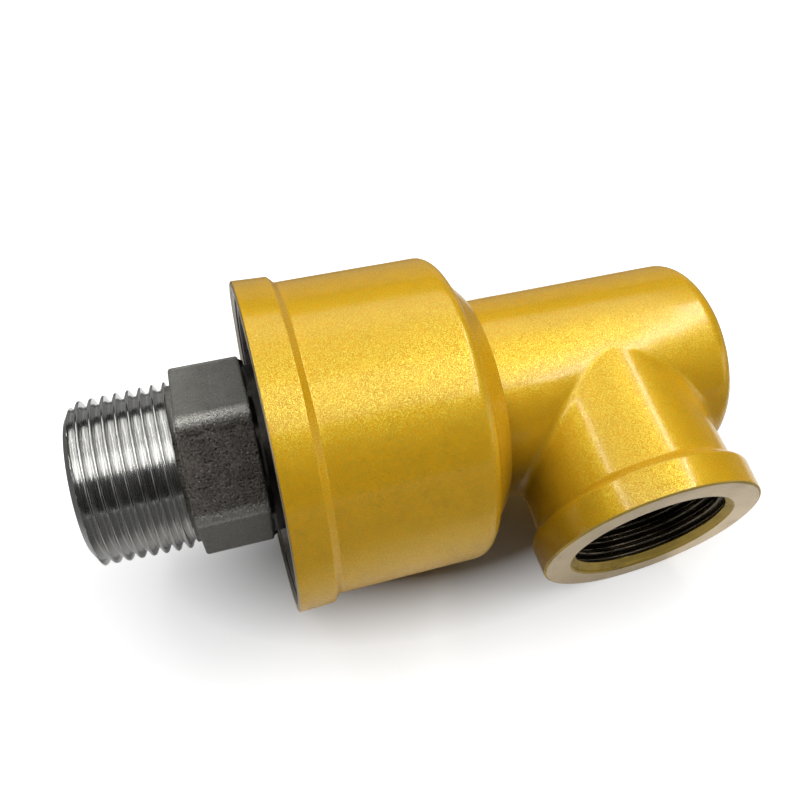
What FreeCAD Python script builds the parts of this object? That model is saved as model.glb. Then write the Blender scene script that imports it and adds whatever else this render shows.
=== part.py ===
import FreeCAD, Part
import math
import os

# A rotary union: a threaded rotor turns in a cast housing and carries fluid from a pipe
# to a side port. All lengths are in millimetres and all angles in degrees.
# X is the rotor's axis. x = 0 is the plane where the thread ends at the hexagon, -X is the
# way out of the thread and +X the closed tail. +Z is up, and the side port points down
# and forward, so that the rim and the port's collar both touch the ground.

# Pipe thread of both connections, nominal one inch
thread_major_r = 16.62
thread_depth = 1.47
thread_minor_r = thread_major_r - thread_depth

# Rotor
flow_bore_r = 10.5
bore_chamfer = 0.8
nipple_length = 19.1
nipple_tip_chamfer = 3.0
nipple_tip_length = 1.8
thread_relief_length = 0.9
thread_relief_depth = 0.9
hex_flat_height = 0.13
hex_length = 13.8
hex_corner_round = 2.0
hex_edge_round = 0.7
hex_turn = 54.4
collar_height = 2.0

# Deep-groove ball bearings, two alike; the section is the distance from bore to outside,
# and a share is of that distance
bearing_bore_r = 15.0
bearing_section = 12.5
bearing_width = 13.0
bearing_edge_round = 0.8
ball_count = 11
ball_share = 0.2856
inner_wall_share = 0.36
outer_wall_share = 0.32
cage_share = 0.16
race_clearance = 0.12
pocket_clearance = 0.1
cage_side_wall = 0.8
shield_thickness = 0.5
shield_inset = 0.7
shield_seat_depth = 0.7
shield_gap = 0.3
spacer_width = 4.0
spacer_wall = 3.2

# Fits
press_clearance = 0.01
running_clearance = 0.07
lip_clearance = 0.1

# How far a cut runs past the face that it opens, and how near counts as the same
cut_past = 1.0
same_point = 1e-6
same_place = 0.05

# Housing casting
mouth_gap = 1.3
rim_height = 1.67
rim_length = 7.5
rim_draft = 0.3
rim_round = 0.9
rim_step = 0.4
rim_step_round = 0.8
bearing_wall = 4.5
barrel_rear_wall = 3.9
shoulder_round = 2.8
shoulder_land = 3.1
shoulder_cone_length = 4.4
shoulder_step = 2.7
tube_wall = 4.4
tail_round = 3.7
tail_past_port = 25.0
tail_wall = 6.0
casting_round = 0.8
edge_break = 0.5

# Side port
port_from_shoulder = 29.8
port_reach = 38.4
port_neck_wall = 5.35
port_collar_height = 1.86
port_collar_length = 6.5
port_collar_draft = 0.3
port_collar_root = 1.6
port_collar_round = 1.2
port_thread_depth = 19.0
port_mouth_flare = 0.33
passage_step = 2.65
junction_round = 2.0

# Bores of the housing
main_bore_step = 3.0
relief_height = 5.6
relief_length = 2.1

# Cover at the mouth
mouth_wall = 2.82
cover_recess_depth = 6.0
cover_thickness = 3.6
cover_groove_width = 1.8
cover_groove_depth = 1.75
cover_ring_section = 0.85
cover_edge_break = 0.25
circlip_thickness = 1.5
circlip_groove_slack = 0.1
circlip_gap_angle = 24.0
circlip_hole_r = 1.0
circlip_lug_r = 2.6
cover_circlip_groove_depth = 1.15
cover_circlip_width = 3.4

# Lip seal in the cover
lip_seal_height = 5.3
lip_seal_width = 3.2
lip_seal_wall = 1.3
lip_web = 1.0
lip_length = 2.0
lip_height = 1.55
lip_bevel = 0.5
lip_edge = 1.4
garter_section = 0.55

# Shaft circlip behind the rear bearing
shaft_circlip_groove_depth = 0.7
shaft_circlip_width = 2.6

# Face seal, from the rotor's nose back to the spring's seat
nose_length = 1.25
nose_relief = 0.1
spigot_wall = 2.1
spigot_short = 0.6
mating_ring_thickness = 2.6
mating_ring_gap = 0.8
carbon_bore_step = 0.1
carbon_lip_step = 0.8
carbon_lip_width = 2.3
carbon_lip_height = 0.8
carbon_rim_width = 1.4
carbon_body_length = 4.0
carrier_wall = 2.0
carrier_pocket_depth = 1.4
carrier_key_length = 2.8
carrier_web = 0.6
carrier_ring_groove = 2.6
carrier_ring_section = 1.12
carrier_rear_wall = 1.6
spring_wire_r = 0.7
spring_wall_gap = 1.2
spring_length = 7.4
spring_turns = 3.0
spring_end_clearance = 0.05
seat_washer_thickness = 1.0
seat_washer_step = 0.1
key_r = 1.2
key_slack = 0.25
key_lead = 2.4

# Radii that follow from the sizes above
hex_across_flats = 2 * (thread_major_r + hex_flat_height)
collar_r = bearing_bore_r + collar_height
bearing_outer_r = bearing_bore_r + bearing_section
bearing_pitch_r = bearing_bore_r + bearing_section / 2
ball_r = bearing_section * ball_share
inner_land_r = bearing_bore_r + bearing_section * inner_wall_share
outer_land_r = bearing_outer_r - bearing_section * outer_wall_share
cage_half_thickness = bearing_section * cage_share / 2
carbon_lip_inner_r = flow_bore_r + carbon_lip_step
carbon_lip_outer_r = carbon_lip_inner_r + carbon_lip_width
carbon_r = carbon_lip_outer_r + carbon_rim_width
carbon_bore_r = flow_bore_r + carbon_bore_step
spigot_r = flow_bore_r + spigot_wall
seal_chamber_r = carbon_r + carrier_wall
main_bore_r = flow_bore_r + main_bore_step
relief_r = bearing_bore_r + relief_height
barrel_r = bearing_outer_r + bearing_wall
rim_r = barrel_r + rim_height
cover_bore_r = rim_r - mouth_wall
tube_r = seal_chamber_r + tube_wall
port_neck_r = thread_minor_r + port_neck_wall
port_face_r = port_neck_r + port_collar_height
port_mouth_r = thread_major_r + port_mouth_flare
passage_r = thread_minor_r - passage_step
lip_seal_r = collar_r + lip_seal_height

# Places along the axis, from the sizes above
hex_end_x = thread_relief_length + hex_length
mouth_x = hex_end_x + mouth_gap
cover_floor_x = mouth_x + cover_recess_depth
cover_x = cover_floor_x - cover_thickness
circlip_x = cover_x - circlip_thickness
spacer_x = cover_floor_x + bearing_width
rear_bearing_x = spacer_x + spacer_width
bearings_end_x = rear_bearing_x + bearing_width
barrel_end_x = bearings_end_x + barrel_rear_wall
cone_end_x = barrel_end_x + shoulder_cone_length
port_x = barrel_end_x + port_from_shoulder
tail_x = port_x + tail_past_port
chamber_x = bearings_end_x + relief_length
shaft_groove_end_x = bearings_end_x + circlip_thickness + circlip_groove_slack
nose_end_x = shaft_groove_end_x + nose_length
seal_face_x = nose_end_x + mating_ring_thickness
carbon_body_x = seal_face_x + carbon_lip_height
carbon_end_x = carbon_body_x + carbon_body_length
carrier_x = carbon_end_x - carrier_pocket_depth
carrier_key_end_x = carrier_x + carrier_key_length
carrier_groove_x = carrier_key_end_x + carrier_web
carrier_groove_end_x = carrier_groove_x + carrier_ring_groove
carrier_end_x = carrier_groove_end_x + carrier_rear_wall
spring_seat_x = carrier_end_x + spring_length
chamber_end_x = spring_seat_x + seat_washer_thickness

# The port leans below level by the angle at which its collar reaches as low as the rim
collar_corner = math.hypot(port_reach, port_face_r)
collar_corner_angle = math.degrees(math.atan2(port_face_r, port_reach))
port_tilt = math.degrees(math.asin(rim_r / collar_corner)) - collar_corner_angle

AXIS = FreeCAD.Vector(1, 0, 0)
CENTRE = FreeCAD.Vector(0, 0, 0)


def point(x, r):
    """A point of an outline, with the distance from the axis along +Y."""
    return FreeCAD.Vector(x, r, 0)


def outline(corners):
    """A closed wire through corners (x, r) or (x, r, round), with the rounds as arcs."""
    edges = []
    starts = []
    ends = []
    arcs = []
    count = len(corners)
    for i, corner in enumerate(corners):
        here = point(corner[0], corner[1])
        before = point(*corners[i - 1][:2])
        after = point(*corners[(i + 1) % count][:2])
        size = corner[2] if len(corner) > 2 else 0.0
        if size <= 0:
            starts.append(here)
            ends.append(here)
            arcs.append(None)
            continue
        to_before = (before - here).normalize()
        to_after = (after - here).normalize()
        half = to_before.getAngle(to_after) / 2
        reach = size / math.tan(half)
        middle = (to_before + to_after).normalize()
        arc_mid = here + middle * (size / math.sin(half) - size)
        first = here + to_before * reach
        last = here + to_after * reach
        starts.append(first)
        ends.append(last)
        arcs.append(Part.Arc(first, arc_mid, last).toShape())
    for i in range(count):
        if arcs[i] is not None:
            edges.append(arcs[i])
        following = starts[(i + 1) % count]
        if ends[i].distanceToPoint(following) > same_point:
            edges.append(Part.LineSegment(ends[i], following).toShape())
    return Part.Wire(edges)


def turned(corners):
    """A solid turned about the rotor's axis from its outline."""
    return Part.Face(outline(corners)).revolve(CENTRE, AXIS, 360)


def tube(x0, x1, inner_r, outer_r, round_=0.0):
    """A plain ring from x0 to x1, with its four edges rounded."""
    return turned([
        (x0, inner_r, round_), (x1, inner_r, round_), (x1, outer_r, round_), (x0, outer_r, round_),
    ])


def rod(x0, x1, r, y=0.0, z=0.0):
    """A plain cylinder from x0 to x1, parallel to the axis."""
    return Part.makeCylinder(r, x1 - x0, FreeCAD.Vector(x0, y, z), AXIS)


def torus(x, ring_r, section_r):
    """A torus about the axis, centred at x."""
    return Part.makeTorus(ring_r, section_r, FreeCAD.Vector(x, 0, 0), AXIS)


def turn(shape, angle):
    """A copy turned about the axis."""
    copy = shape.copy()
    copy.rotate(CENTRE, AXIS, angle)
    return copy


def port_turned(corners):
    """A solid turned about the port's axis, from corners (reach, r) or (reach, r, round)."""
    solid = turned(corners)
    solid.rotate(CENTRE, FreeCAD.Vector(0, 0, 1), -90)
    solid.translate(FreeCAD.Vector(port_x, 0, 0))
    solid.rotate(CENTRE, AXIS, port_tilt)
    return solid


def off_axis(p):
    """How far a point lies from the rotor's axis."""
    return math.hypot(p.y, p.z)


def off_port_axis(p):
    """How far a point lies from the port's axis."""
    tilt = math.radians(port_tilt)
    along = -p.y * math.cos(tilt) - p.z * math.sin(tilt)
    across = FreeCAD.Vector(p.x - port_x, p.y + along * math.cos(tilt), p.z + along * math.sin(tilt))
    return across.Length


def is_junction(edge):
    """Whether an edge is the seam where the port's neck grows out of the tube."""
    first, last = edge.FirstParameter, edge.LastParameter
    samples = [edge.valueAt(t) for t in (first, (first + last) / 2, last)]
    on_tube = all(abs(off_axis(p) - tube_r) < same_place for p in samples)
    on_neck = all(abs(off_port_axis(p) - port_neck_r) < same_place for p in samples)
    return on_tube and on_neck


def casting():
    """The outside of the housing: rim, barrel, shoulder, tube and the side port's collar."""
    body = turned([
        (mouth_x, 0), (mouth_x, rim_r, edge_break),
        (mouth_x + rim_length, rim_r - rim_draft, rim_round),
        (mouth_x + rim_length + rim_step, barrel_r, rim_step_round),
        (barrel_end_x, barrel_r, shoulder_round),
        (barrel_end_x, barrel_r - shoulder_land),
        (cone_end_x, tube_r + shoulder_step, casting_round), (cone_end_x, tube_r, casting_round),
        (tail_x, tube_r, tail_round), (tail_x, 0),
    ])
    collar_back = port_reach - port_collar_length
    branch = port_turned([
        (0, 0), (0, port_neck_r), (collar_back - port_collar_root, port_neck_r, port_collar_round),
        (collar_back, port_face_r + port_collar_draft, port_collar_round),
        (port_reach, port_face_r, edge_break), (port_reach, 0),
    ])
    whole = body.fuse(branch).removeSplitter()
    seams = [edge for edge in whole.Edges if is_junction(edge)]
    return whole.makeFillet(junction_round, seams)


def housing():
    """The casting with its bearing seat, seal chamber, main bore and threaded side port."""
    cavity = turned([
        (mouth_x - cut_past, 0), (mouth_x - cut_past, cover_bore_r),
        (circlip_x - circlip_groove_slack, cover_bore_r),
        (circlip_x - circlip_groove_slack, cover_bore_r + cover_circlip_groove_depth),
        (cover_x, cover_bore_r + cover_circlip_groove_depth), (cover_x, cover_bore_r),
        (cover_floor_x, cover_bore_r), (cover_floor_x, bearing_outer_r + press_clearance),
        (bearings_end_x, bearing_outer_r + press_clearance), (bearings_end_x, relief_r),
        (chamber_x, relief_r), (chamber_x, seal_chamber_r),
        (chamber_end_x, seal_chamber_r), (chamber_end_x, main_bore_r),
        (tail_x - tail_wall, main_bore_r, tail_round), (tail_x - tail_wall, 0),
    ])
    mouth_depth = port_mouth_r - thread_minor_r
    port_bore = port_turned([
        (0, 0), (0, passage_r), (port_reach - port_thread_depth, passage_r),
        (port_reach - port_thread_depth, thread_minor_r), (port_reach - mouth_depth, thread_minor_r),
        (port_reach, port_mouth_r), (port_reach + cut_past, port_mouth_r), (port_reach + cut_past, 0),
    ])
    key_way = rod(chamber_x - cut_past, carrier_key_end_x, key_r + press_clearance, z=seal_chamber_r)
    return casting().cut([cavity, port_bore, key_way, turn(key_way, 180)])


def hexagon():
    """The wrench hexagon, with rounded corners and softened end edges."""
    corner = hex_across_flats / math.sqrt(3)
    angles = [math.radians(hex_turn + 60 * n) for n in range(6)]
    points = [FreeCAD.Vector(0, corner * math.cos(a), corner * math.sin(a)) for a in angles]
    prism = Part.Face(Part.makePolygon(points + points[:1])).extrude(FreeCAD.Vector(hex_length, 0, 0))
    prism.translate(FreeCAD.Vector(thread_relief_length, 0, 0))
    long_edges = [e for e in prism.Edges if abs(e.Vertexes[0].X - e.Vertexes[-1].X) > hex_length / 2]
    rounded = prism.makeFillet(hex_corner_round, long_edges)
    return rounded.makeFillet(hex_edge_round, [e for e in rounded.Edges if e.BoundBox.XLength < same_point])


def rotor():
    """The turning shaft in one piece: thread nipple, hexagon, collar, journal and nose."""
    journal_r = bearing_bore_r - press_clearance
    nose_r = bearing_bore_r - nose_relief
    shaft = turned([
        (-nipple_length, 0), (-nipple_length, thread_major_r - nipple_tip_chamfer),
        (-nipple_length + nipple_tip_length, thread_major_r), (0, thread_major_r),
        (0, thread_major_r - thread_relief_depth), (hex_end_x, thread_major_r - thread_relief_depth),
        (hex_end_x, collar_r), (cover_floor_x, collar_r), (cover_floor_x, journal_r),
        (bearings_end_x, journal_r), (bearings_end_x, bearing_bore_r - shaft_circlip_groove_depth),
        (shaft_groove_end_x, bearing_bore_r - shaft_circlip_groove_depth),
        (shaft_groove_end_x, nose_r), (nose_end_x, nose_r), (nose_end_x, spigot_r),
        (seal_face_x - spigot_short, spigot_r), (seal_face_x - spigot_short, 0),
    ])
    bore = turned([
        (-nipple_length - cut_past, 0), (-nipple_length - cut_past, flow_bore_r + bore_chamfer),
        (-nipple_length, flow_bore_r + bore_chamfer), (-nipple_length + bore_chamfer, flow_bore_r),
        (seal_face_x, flow_bore_r), (seal_face_x, 0),
    ])
    return shaft.fuse(hexagon()).cut(bore)


def bearing_inner_ring(x):
    """The inner ring of a bearing whose front face is at x."""
    ring = tube(x, x + bearing_width, bearing_bore_r, inner_land_r, bearing_edge_round)
    return ring.cut(torus(x + bearing_width / 2, bearing_pitch_r, ball_r + race_clearance))


def bearing_outer_ring(x):
    """The outer ring, with a seat for a shield in each side."""
    ring = tube(x, x + bearing_width, outer_land_r, bearing_outer_r, bearing_edge_round)
    seat_r = outer_land_r + shield_seat_depth
    seat_depth = shield_inset + shield_thickness
    seats = [
        rod(x - cut_past, x + seat_depth, seat_r),
        rod(x + bearing_width - seat_depth, x + bearing_width + cut_past, seat_r),
    ]
    track = torus(x + bearing_width / 2, bearing_pitch_r, ball_r + race_clearance)
    return ring.cut(seats + [track])


def ball_ring(x, size):
    """Balls of the given radius, evenly round the pitch circle."""
    middle = x + bearing_width / 2
    first = Part.makeSphere(size, FreeCAD.Vector(middle, bearing_pitch_r, 0))
    return [turn(first, 360 * (n + 0.5) / ball_count) for n in range(ball_count)]


def bearing_balls(x):
    """The balls as separate solids."""
    return Part.makeCompound(ball_ring(x, ball_r))


def bearing_cage(x):
    """The cage that keeps the balls apart."""
    middle = x + bearing_width / 2
    half_width = ball_r + pocket_clearance + cage_side_wall
    band = tube(middle - half_width, middle + half_width,
                bearing_pitch_r - cage_half_thickness, bearing_pitch_r + cage_half_thickness)
    return band.cut(ball_ring(x, ball_r + pocket_clearance))


def bearing_shield(x, side):
    """A thin shield; side is 0 for the front of the bearing at x and 1 for the rear."""
    start = x + shield_inset
    if side == 1:
        start = x + bearing_width - shield_inset - shield_thickness
    outer_r = outer_land_r + shield_seat_depth - press_clearance
    return tube(start, start + shield_thickness, inner_land_r + shield_gap, outer_r)


def outer_spacer():
    """The ring between the two outer rings."""
    return tube(spacer_x, rear_bearing_x, bearing_outer_r - spacer_wall, bearing_outer_r)


def inner_spacer():
    """The sleeve between the two inner rings."""
    return tube(spacer_x, rear_bearing_x, bearing_bore_r, bearing_bore_r + spacer_wall)


def circlip(x, inner_r, outer_r, eye_r):
    """A retaining ring with a gap at the top and an eye in each lug beside it."""
    half = circlip_gap_angle / 2
    ring = tube(x, x + circlip_thickness, inner_r, outer_r)
    lug = rod(x, x + circlip_thickness, circlip_lug_r, z=eye_r)
    front = x - cut_past
    rear = x + circlip_thickness + cut_past
    hole = rod(front, rear, circlip_hole_r, z=eye_r)
    lug_angle = half + math.degrees(circlip_lug_r / eye_r)
    lugs = [turn(lug, lug_angle), turn(lug, -lug_angle)]
    reach = outer_r * 2
    side = reach * math.tan(math.radians(half))
    wedge = Part.Face(Part.makePolygon([
        FreeCAD.Vector(front, 0, 0), FreeCAD.Vector(front, side, reach),
        FreeCAD.Vector(front, -side, reach), FreeCAD.Vector(front, 0, 0),
    ])).extrude(FreeCAD.Vector(rear - front, 0, 0))
    holes = [turn(hole, lug_angle), turn(hole, -lug_angle)]
    return ring.fuse(lugs).removeSplitter().cut([wedge] + holes)


def shaft_circlip():
    """The outside circlip that holds the rear inner ring on the rotor."""
    inner_r = bearing_bore_r - shaft_circlip_groove_depth + press_clearance
    return circlip(bearings_end_x, inner_r, inner_r + shaft_circlip_width, inner_r + circlip_lug_r)


def cover_circlip():
    """The inside circlip that holds the cover in the housing's mouth."""
    outer_r = cover_bore_r + cover_circlip_groove_depth - press_clearance
    eye_r = cover_bore_r - running_clearance - circlip_lug_r
    return circlip(circlip_x, outer_r - cover_circlip_width, outer_r, eye_r)


def front_cover():
    """The plate that closes the mouth, with a groove for its ring and a seat for the lip seal."""
    outer_r = cover_bore_r - running_clearance
    plate = tube(cover_x, cover_floor_x, lip_seal_r, outer_r, cover_edge_break)
    middle = (cover_x + cover_floor_x) / 2
    groove = tube(middle - cover_groove_width / 2, middle + cover_groove_width / 2,
                  outer_r - cover_groove_depth, outer_r + cut_past)
    return plate.cut(groove)


def cover_ring():
    """The rubber ring that seals the cover in its recess."""
    ring_r = cover_bore_r - running_clearance - cover_ring_section
    return torus((cover_x + cover_floor_x) / 2, ring_r, cover_ring_section)


def lip_seal():
    """The rubber seal whose lip rides on the rotor's collar."""
    front = cover_x + (cover_thickness - lip_seal_width) / 2
    rear = front + lip_seal_width
    outer_r = lip_seal_r - press_clearance
    lip_r = collar_r + lip_clearance
    return turned([
        (front, outer_r), (rear, outer_r), (rear, outer_r - lip_seal_wall),
        (front + lip_web, outer_r - lip_seal_wall), (front + lip_web, lip_r + lip_height),
        (front + lip_length, lip_r + lip_height), (front + lip_length, lip_r + lip_bevel),
        (front + lip_edge, lip_r), (front, lip_r + 2 * lip_bevel),
    ])


def garter_spring():
    """The ring that presses the lip of the seal inwards."""
    front = cover_x + (cover_thickness - lip_seal_width) / 2
    away = garter_section + running_clearance
    return torus(front + lip_web + away, collar_r + lip_clearance + lip_height + away, garter_section)


def mating_ring():
    """The hard ring on the rotor's nose that the carbon ring runs against."""
    return tube(nose_end_x, seal_face_x, spigot_r + press_clearance, seal_chamber_r - mating_ring_gap)


def carbon_ring():
    """The carbon ring, with the raised lip that touches the mating ring."""
    return turned([
        (carbon_end_x, carbon_bore_r), (carbon_end_x, carbon_r), (carbon_body_x, carbon_r),
        (carbon_body_x, carbon_lip_outer_r), (seal_face_x, carbon_lip_outer_r),
        (seal_face_x, carbon_lip_inner_r), (carbon_body_x, carbon_lip_inner_r),
        (carbon_body_x, carbon_bore_r),
    ])


def seal_carrier():
    """The sliding carrier of the carbon ring, with its ring groove and two key slots."""
    outer_r = seal_chamber_r - running_clearance
    groove_r = outer_r - 2 * carrier_ring_section
    body = turned([
        (carrier_x, carbon_r + press_clearance), (carrier_x, outer_r),
        (carrier_groove_x, outer_r), (carrier_groove_x, groove_r),
        (carrier_groove_end_x, groove_r), (carrier_groove_end_x, outer_r),
        (carrier_end_x, outer_r), (carrier_end_x, carbon_bore_r),
        (carbon_end_x, carbon_bore_r), (carbon_end_x, carbon_r + press_clearance),
    ])
    slot = rod(carrier_x - cut_past, carrier_key_end_x + key_slack, key_r + key_slack, z=seal_chamber_r)
    return body.cut([slot, turn(slot, 180)])


def carrier_ring():
    """The rubber ring round the carrier."""
    ring_r = seal_chamber_r - running_clearance - carrier_ring_section
    return torus((carrier_groove_x + carrier_groove_end_x) / 2, ring_r, carrier_ring_section)


def seal_keys():
    """Two round keys in the chamber's wall that stop the carrier turning."""
    start = carrier_key_end_x - carrier_key_length - key_lead
    key = rod(start, carrier_key_end_x, key_r, z=seal_chamber_r)
    return Part.makeCompound([key, turn(key, 180)])


def half_turn(x, side, mean_r, climb):
    """Half a turn of the spring's wire, from side +1 or -1 across to the other, rising by climb."""
    start = FreeCAD.Vector(x, side * mean_r, 0)
    centre = FreeCAD.Vector(x + climb / 2, 0, 0)
    turn_axis = FreeCAD.Vector(mean_r, side * climb / 2, 0).normalize()
    section = Part.Face(Part.Wire(Part.makeCircle(spring_wire_r, start, FreeCAD.Vector(0, 0, 1))))
    return section.revolve(centre, turn_axis, 180)


def seal_spring():
    """The coil spring that presses the carrier forwards, as tilted half turns end to end."""
    mean_r = seal_chamber_r - spring_wall_gap - spring_wire_r
    first = carrier_end_x + spring_wire_r + spring_end_clearance
    last = spring_seat_x - spring_wire_r - spring_end_clearance
    halves = round(spring_turns * 2)
    climb = (last - first) / halves
    pieces = [half_turn(first + climb * n, (-1) ** n, mean_r, climb) for n in range(halves)]
    return pieces[0].fuse(pieces[1:])


def seat_washer():
    """The washer that the spring stands on."""
    inner_r = main_bore_r + seat_washer_step
    return tube(spring_seat_x, chamber_end_x, inner_r, seal_chamber_r - running_clearance)


def all_parts():
    """Every node's name and solid."""
    parts = {
        "housing": housing(),
        "rotor": rotor(),
        "front_cover": front_cover(),
        "cover_o_ring": cover_ring(),
        "cover_circlip": cover_circlip(),
        "lip_seal": lip_seal(),
        "lip_seal_garter_spring": garter_spring(),
        "outer_spacer_ring": outer_spacer(),
        "inner_spacer_sleeve": inner_spacer(),
        "shaft_circlip": shaft_circlip(),
        "mating_ring": mating_ring(),
        "carbon_seal_ring": carbon_ring(),
        "seal_carrier": seal_carrier(),
        "carrier_o_ring": carrier_ring(),
        "seal_keys": seal_keys(),
        "seal_spring": seal_spring(),
        "spring_seat_washer": seat_washer(),
    }
    for name, x in (("front_bearing", cover_floor_x), ("rear_bearing", rear_bearing_x)):
        parts[name + "_inner_ring"] = bearing_inner_ring(x)
        parts[name + "_outer_ring"] = bearing_outer_ring(x)
        parts[name + "_balls"] = bearing_balls(x)
        parts[name + "_cage"] = bearing_cage(x)
        parts[name + "_front_shield"] = bearing_shield(x, 0)
        parts[name + "_rear_shield"] = bearing_shield(x, 1)
    return parts


def main():
    """Build every part and write it to its own STEP file."""
    os.makedirs("parts", exist_ok=True)
    for name, shape in all_parts().items():
        shape.exportStep("parts/" + name + ".step")
        low, high = shape.BoundBox.XMin, shape.BoundBox.XMax
        print(f"{name}: {len(shape.Solids)} solid, valid {shape.isValid()}, {shape.Volume:.1f} mm3, "
              f"x {low:.2f} to {high:.2f}")
    print(f"port tilt {port_tilt:.3f}, port x {port_x:.2f}, tail x {tail_x:.2f}, mouth x {mouth_x:.2f}")


main()
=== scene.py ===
"""The looks of a rotary union, built around its CAD frame.

A threaded steel rotor turns in a gold-painted iron housing and carries fluid to the threaded
side port. The housing and the rotor are modelled here; the pieces inside keep their CAD
shapes and get their finishes here. Lengths are in millimetres until a mesh is built.
"""

import logging
import math
from collections.abc import Callable, Sequence
from dataclasses import dataclass, field, replace
from enum import Enum, IntEnum

import bmesh
import bpy
import numpy as np
from mathutils import Matrix, Vector, noise

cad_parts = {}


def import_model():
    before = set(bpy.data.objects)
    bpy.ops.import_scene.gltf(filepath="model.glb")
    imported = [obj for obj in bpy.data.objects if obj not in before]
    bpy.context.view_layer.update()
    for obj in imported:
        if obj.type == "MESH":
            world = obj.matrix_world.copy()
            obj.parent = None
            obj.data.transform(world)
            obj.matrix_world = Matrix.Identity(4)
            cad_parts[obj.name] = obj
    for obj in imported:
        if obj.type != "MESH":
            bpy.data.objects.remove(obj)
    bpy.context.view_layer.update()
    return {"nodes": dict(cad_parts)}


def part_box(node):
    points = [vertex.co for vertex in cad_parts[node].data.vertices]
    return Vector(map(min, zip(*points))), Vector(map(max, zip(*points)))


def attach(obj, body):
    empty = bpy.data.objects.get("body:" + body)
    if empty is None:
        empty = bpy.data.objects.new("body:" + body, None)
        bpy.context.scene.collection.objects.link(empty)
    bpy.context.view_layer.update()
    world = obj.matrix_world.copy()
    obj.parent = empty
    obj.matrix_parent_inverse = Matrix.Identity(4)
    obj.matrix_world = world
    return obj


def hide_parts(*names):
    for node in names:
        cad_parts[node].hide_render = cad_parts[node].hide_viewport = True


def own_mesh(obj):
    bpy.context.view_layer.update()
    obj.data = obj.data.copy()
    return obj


MM = 0.001
TINY = 1e-6  # keeps divisors from zero, and tells a flat step from none
TOUCHING = 0.01  # places that are nearer than this, in millimetres, are one place
LOG = logging.getLogger("rotary_union")
EDGE_MARK = "edge_closeness"
SKIN_MARK = "skin_coarseness"
# Name of the painted shade in the corner of barrel, tube and neck, stored on the casting's points
PAINTED_SHADE_MARK = "painted_shade"
Pair = tuple[float, float]
Corner = tuple[float, ...]
Colour = tuple[float, float, float]
SocketColour = tuple[float, float, float, float]
Points = np.ndarray
Numbers = np.ndarray
Ring = tuple[float | Numbers, float | Numbers]


def rounded(corners: Sequence[Corner], arc_steps: int = 6) -> list[Pair]:
    """Turns an open outline with rounds at its corners into plain points.

    Args:
        corners: (along, radius) or (along, radius, round) of each corner.
        arc_steps: Straight pieces that stand for each round.

    Returns:
        The outline's points, with every round as a run of short pieces.
    """
    points: list[Pair] = []
    last = len(corners) - 1
    for i, corner in enumerate(corners):
        here = Vector(corner[:2])
        size = corner[2] if len(corner) > 2 else 0.0
        if size <= 0 or i in (0, last):
            points.append(tuple(here))
            continue
        to_before = (Vector(corners[i - 1][:2]) - here).normalized()
        to_after = (Vector(corners[i + 1][:2]) - here).normalized()
        half = to_before.angle(to_after) / 2
        centre = here + (to_before + to_after).normalized() * size / math.sin(half)
        start = here + to_before * size / math.tan(half) - centre
        end = here + to_after * size / math.tan(half) - centre
        sweep = start.angle_signed(end)
        for step in range(arc_steps + 1):
            points.append(tuple(centre + Matrix.Rotation(-sweep * step / arc_steps, 2) @ start))
    return points


def spaced(points: Sequence[Pair], longest: float) -> list[Pair]:
    """Cuts the long runs of an outline into shorter ones.

    Args:
        points: The outline.
        longest: The most that a run may measure.

    Returns:
        The outline with points added along its long runs.
    """
    result = [points[0]]
    for before, after in zip(points, points[1:]):
        count = max(1, math.ceil(math.dist(before, after) / longest))
        for step in range(1, count + 1):
            share = step / count
            result.append(tuple(a + (b - a) * share for a, b in zip(before, after)))
    return result


@dataclass(frozen=True)
class Axis:
    """A line that pieces are turned about, with two directions across it."""

    origin: tuple[float, float, float] = (0.0, 0.0, 0.0)
    along: tuple[float, float, float] = (1.0, 0.0, 0.0)
    side: tuple[float, float, float] = (0.0, 1.0, 0.0)
    lift: tuple[float, float, float] = (0.0, 0.0, 1.0)

    def circle(self, place: float | Numbers, radius: float | Numbers, angles: Numbers) -> Points:
        """Points round the axis.

        Args:
            place: Distance along the axis, one for all angles or one each.
            radius: Distance from the axis, one for all angles or one each.
            angles: Angles in radians, from the side direction towards the lift.

        Returns:
            An array of one point for each angle.
        """
        along = np.multiply.outer(np.broadcast_to(place, angles.shape), np.array(self.along))
        side = np.multiply.outer(radius * np.cos(angles), np.array(self.side))
        lift = np.multiply.outer(radius * np.sin(angles), np.array(self.lift))
        return np.array(self.origin) + along + side + lift

    def measure(self, points: Points) -> tuple[Numbers, Numbers, Numbers]:
        """Each point's distance along the axis, distance from it, and angle round it.

        Args:
            points: Points in millimetres.

        Returns:
            Distances along the axis, distances from it, and angles round it.
        """
        away = points - np.array(self.origin)
        side, lift = away @ np.array(self.side), away @ np.array(self.lift)
        return away @ np.array(self.along), np.hypot(side, lift), np.arctan2(lift, side)


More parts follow.
